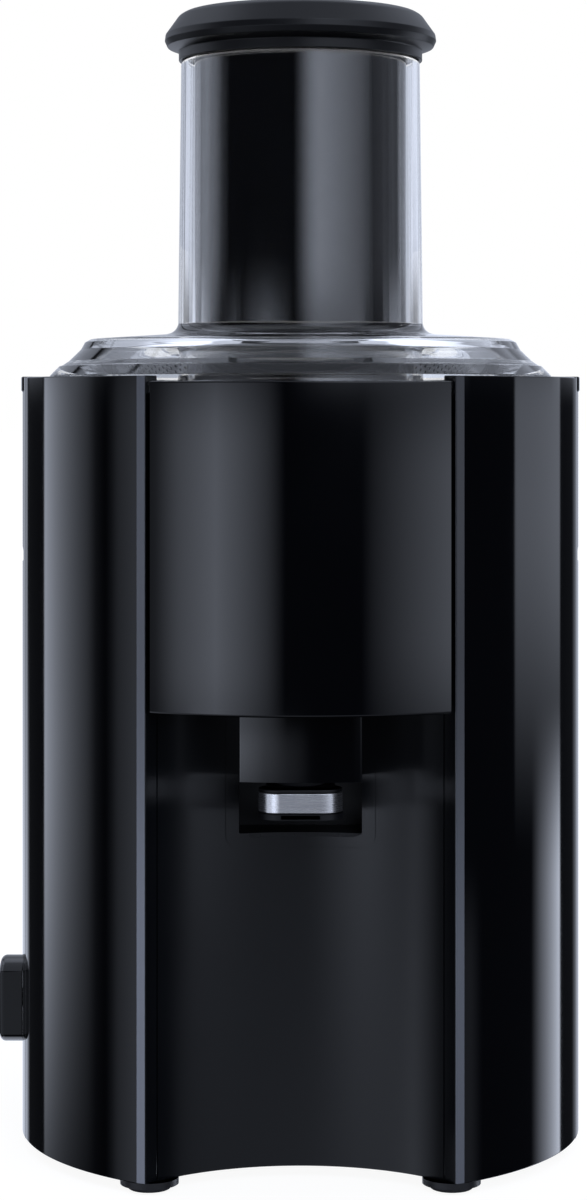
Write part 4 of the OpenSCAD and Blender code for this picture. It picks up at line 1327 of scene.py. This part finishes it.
def softbox_group():
    """A panel of light on the sky: bright between two azimuths and two heights with soft edges, and
    running from one level to another across its width. Angles are in degrees."""
    group, given, result = new_group(
        "softbox",
        [("Azimuth", "NodeSocketFloat", 0.0), ("Height", "NodeSocketFloat", 0.0),
         ("From", "NodeSocketFloat", 0.0), ("To", "NodeSocketFloat", 10.0),
         ("From edge", "NodeSocketFloat", 1.0), ("To edge", "NodeSocketFloat", 1.0),
         ("Low", "NodeSocketFloat", -90.0), ("High", "NodeSocketFloat", 90.0),
         ("Height edge", "NodeSocketFloat", 1.0),
         ("Level from", "NodeSocketFloat", 1.0), ("Level to", "NodeSocketFloat", 1.0)],
        [("Level", "NodeSocketFloat")],
    )
    value = given.outputs

    def step(at, centre, edge):
        made = node(group, "ShaderNodeMapRange", interpolation_type="SMOOTHSTEP")
        group.links.new(at, made.inputs["Value"])
        group.links.new(math_node(group, "SUBTRACT", centre, edge), made.inputs["From Min"])
        group.links.new(math_node(group, "ADD", centre, edge), made.inputs["From Max"])
        return made.outputs["Result"]

    inside = math_node(
        group, "MULTIPLY", step(value["Azimuth"], value["From"], value["From edge"]),
        math_node(group, "SUBTRACT", 1.0, step(value["Azimuth"], value["To"], value["To edge"]))
    )
    upright = math_node(
        group, "MULTIPLY", step(value["Height"], value["Low"], value["Height edge"]),
        math_node(group, "SUBTRACT", 1.0, step(value["Height"], value["High"], value["Height edge"]))
    )
    across = node(group, "ShaderNodeMapRange", "across")
    for socket, source in (("Value", "Azimuth"), ("From Min", "From"), ("From Max", "To"),
                           ("To Min", "Level from"), ("To Max", "Level to")):
        group.links.new(value[source], across.inputs[socket])
    within = math_node(group, "MULTIPLY", inside, upright)
    lit = math_node(group, "MULTIPLY", within, across.outputs["Result"])
    group.links.new(lit, result.inputs["Level"])
    return group


# Softboxes: name, azimuths, softness of each side, heights, softness in height, levels across.
# Azimuths run from straight ahead towards +X. A negative level dims the boxes it lies over.
SOFTBOXES = (
    ("left rear", -129.5, -91, 0.8, 6, -12, 60, 6, 2.2, 0.15),
    ("left rear, dimmed high", -131, -105, 1, 4, 1, 60, 1, -1.65, -0.2),
    ("left rear, high", -150, -129, 2, 2, 1, 60, 1, 0.7, 0.9),
    ("left side, high", -105, -84, 4, 4, 1, 60, 1, 0.35, 0.35),
    ("left strip", -82, -66, 4, 2, -60, 0.9, 1, 0.2, 0.8),
    ("left front", -60, -34, 12, 2, -6.5, 0.6, 1.5, 0.6, 2.3),
    ("left front, falling", -34, -6, 2, 8, -6.5, 0.6, 1.5, 2.3, 0.0),
    ("left front, low", -45, -16, 3, 4, -7.5, -6.4, 0.2, 2.6, 0.6),
    ("front, low", -16, 5, 4, 6, -7.5, -6.4, 0.2, 0.6, 0.05),
    ("right front", 24, 66, 6, 3, -6.2, 0.3, 1.8, 0.0, 1.7),
    ("right front, high", 7, 72, 15, 1.5, 1, 60, 1, 1.85, 0.4),
    ("right side, high", 73, 100, 1, 6, 1, 60, 1, 0.15, 0.2),
    ("right rear", 97, 133, 0.8, 1.0, -5.2, 60, 3.5, 1.4, 0.75),
    ("right rear, dimmed high", 97, 126, 0.8, 3, 1, 60, 1, -1.2, -0.75),
    ("right rear, high", 131, 157, 2, 2, 1, 60, 1, 0.8, 0.8),
    ("right rear, low", 108, 133, 8, 1.0, -60, -7.5, 2.0, 0.0, 3.3),
    ("low left", -68, -45, 2, 1, -40, -7.5, 0.5, 0.75, 0.5),
    ("low front", -45, 75, 1, 4, -40, -9.8, 1.2, 0.5, 0.2),
    ("behind, left", -185, -153, 1, 1, -60, 60, 4, 0.55, 0.55),
    ("behind, left, low", -185, -150, 1, 1, -60, -7, 4, 0.4, 0.4),
    ("behind, right", 155, 185, 6, 1, -60, 60, 4, 0.4, 1.1),
    ("overhead", -200, 200, 1, 1, 40, 95, 8, 0.6, 0.6),
)


def studio_world():
    """White to the eye, directly or through clear plastic, and for every other ray a dim room with
    softboxes in it."""
    studio = bpy.context.scene.juicer_studio
    world = bpy.data.worlds.new("studio")
    world.use_nodes = True
    tree = world.node_tree
    tree.nodes.clear()
    link = tree.links.new
    place = node(tree, "ShaderNodeTexCoord")
    parts = node(tree, "ShaderNodeSeparateXYZ")
    link(place.outputs["Generated"], parts.inputs[0])
    back = math_node(tree, "MULTIPLY", parts.outputs["Y"], -1.0)
    turn = math_node(tree, "ARCTAN2", parts.outputs["X"], back)
    azimuth = math_node(tree, "DEGREES", turn)
    height = math_node(tree, "DEGREES", math_node(tree, "ARCSINE", parts.outputs["Z"]))
    total = None
    group = softbox_group()
    labels = ("From", "To", "From edge", "To edge", "Low", "High", "Height edge", "Level from", "Level to")
    for name, *values in SOFTBOXES:
        box = node(tree, "ShaderNodeGroup", name, node_tree=group)
        link(azimuth, box.inputs["Azimuth"])
        link(height, box.inputs["Height"])
        for label, value in zip(labels, values):
            box.inputs[label].default_value = value
        total = box.outputs[0] if total is None else math_node(tree, "ADD", total, box.outputs[0])
    cool_white = (0.86, 0.93, 1.10, 1)
    room = node(tree, "ShaderNodeBackground", "room")
    room.inputs["Color"].default_value = cool_white
    total = math_node(tree, "MAXIMUM", total, 0.0)
    strength = math_node(tree, "MULTIPLY_ADD", total, studio.boxes, studio.fill)
    link(strength, room.inputs["Strength"])
    white = node(tree, "ShaderNodeBackground", "backdrop")
    white.inputs["Color"].default_value = (1, 1, 1, 1)
    white.inputs["Strength"].default_value = studio.backdrop
    path = node(tree, "ShaderNodeLightPath")
    other = math_node(tree, "SUBTRACT", path.outputs["Ray Depth"], path.outputs["Transmission Depth"])
    through = math_node(tree, "LESS_THAN", other, 0.5)
    seen = math_node(tree, "MAXIMUM", path.outputs["Is Camera Ray"], through)
    mix = node(tree, "ShaderNodeMixShader")
    link(seen, mix.inputs[0])
    link(room.outputs[0], mix.inputs[1])
    link(white.outputs[0], mix.inputs[2])
    out = node(tree, "ShaderNodeOutputWorld")
    link(mix.outputs[0], out.inputs["Surface"])
    bpy.context.scene.world = world


def floor_material():
    """Pale floor: nearly all its own light, so that it runs into the backdrop, and a little of what
    falls on it."""
    material = bpy.data.materials.new("pale floor")
    material.use_nodes = True
    tree = material.node_tree
    tree.nodes.remove(tree.nodes["Principled BSDF"])
    glow = node(tree, "ShaderNodeEmission")
    glow.inputs["Color"].default_value = (1, 1, 1, 1)
    glow.inputs["Strength"].default_value = 0.93
    matt = node(tree, "ShaderNodeBsdfDiffuse")
    matt.inputs["Color"].default_value = (0.16, 0.16, 0.16, 1)
    add = node(tree, "ShaderNodeAddShader")
    tree.links.new(glow.outputs[0], add.inputs[0])
    tree.links.new(matt.outputs[0], add.inputs[1])
    tree.links.new(add.outputs[0], tree.nodes["Material Output"].inputs["Surface"])
    return material


class JUICER_OT_stage(Operator):
    """Stage: camera, white surroundings with softboxes, and a pale floor"""

    bl_idname = "juicer.stage"
    bl_label = "Stage"

    def execute(self, context):
        scene = context.scene
        # Frame, principal point and focal length of the view, all in pixels
        frame_w, frame_h, centre_x, centre_y, focal = 587, 1200, 300.5, 407.0, 2916.0
        distance, eye = 1.1013, 0.274
        camera = bpy.data.cameras.new("camera")
        camera.sensor_width = 36
        camera.lens = focal * 36 / frame_h
        camera.shift_x = -(centre_x - frame_w / 2) / frame_h
        camera.shift_y = -(frame_h / 2 - centre_y) / frame_h
        viewer = bpy.data.objects.new("camera", camera)
        scene.collection.objects.link(viewer)
        viewer.location = (AXIS[0], AXIS[1] - distance, eye)
        viewer.rotation_euler = (math.radians(90), 0, 0)
        scene.camera = viewer
        floor_half = 30.0
        corners = np.array([(-1, -1, 0), (1, -1, 0), (1, 1, 0), (-1, 1, 0)]) * floor_half
        mesh = bpy.data.meshes.new("floor")
        mesh.from_pydata(corners, [], [[0, 1, 2, 3]])
        mesh.materials.append(floor_material())
        floor = bpy.data.objects.new("floor", mesh)
        scene.collection.objects.link(floor)
        floor.visible_glossy = False
        floor.visible_diffuse = False
        studio_world()
        scene.view_settings.view_transform = "Standard"
        return {"FINISHED"}


# ---- Add-on ----


class JUICER_PT_parts(Panel):
    """Lists the operators"""

    bl_idname = "JUICER_PT_parts"
    bl_label = "Centrifugal juicer"
    bl_space_type = "VIEW_3D"
    bl_region_type = "UI"
    bl_category = "Juicer"

    def draw(self, context):
        column = self.layout.column(align=True)
        for operator in OPERATORS:
            column.operator(operator.bl_idname)
        for group in (context.scene.juicer_sizes, context.scene.juicer_finish, context.scene.juicer_studio):
            box = self.layout.box()
            for name in group.__annotations__:
                box.prop(group, name)


OPERATORS = (
    JUICER_OT_stage, JUICER_OT_columns, JUICER_OT_sides, JUICER_OT_bay, JUICER_OT_front, JUICER_OT_lever,
    JUICER_OT_lid, JUICER_OT_pusher, JUICER_OT_clamps, JUICER_OT_knob, JUICER_OT_container,
    JUICER_OT_feet, JUICER_OT_basket, JUICER_OT_inside,
)
CLASSES = (JuicerSizes, JuicerFinish, JuicerStudio, *OPERATORS, JUICER_PT_parts)


def register():
    for one in CLASSES:
        bpy.utils.register_class(one)
    bpy.types.Scene.juicer_sizes = PointerProperty(type=JuicerSizes)
    bpy.types.Scene.juicer_finish = PointerProperty(type=JuicerFinish)
    bpy.types.Scene.juicer_studio = PointerProperty(type=JuicerStudio)


def unregister():
    del bpy.types.Scene.juicer_studio
    del bpy.types.Scene.juicer_finish
    del bpy.types.Scene.juicer_sizes
    for one in reversed(CLASSES):
        bpy.utils.unregister_class(one)


def main():
    register()
    for operator in OPERATORS:
        group, name = operator.bl_idname.split(".")
        if getattr(getattr(bpy.ops, group), name)() != {"FINISHED"}:
            raise RuntimeError(f"{operator.bl_label} didn't finish")


if __name__ == "__main__":
    main()
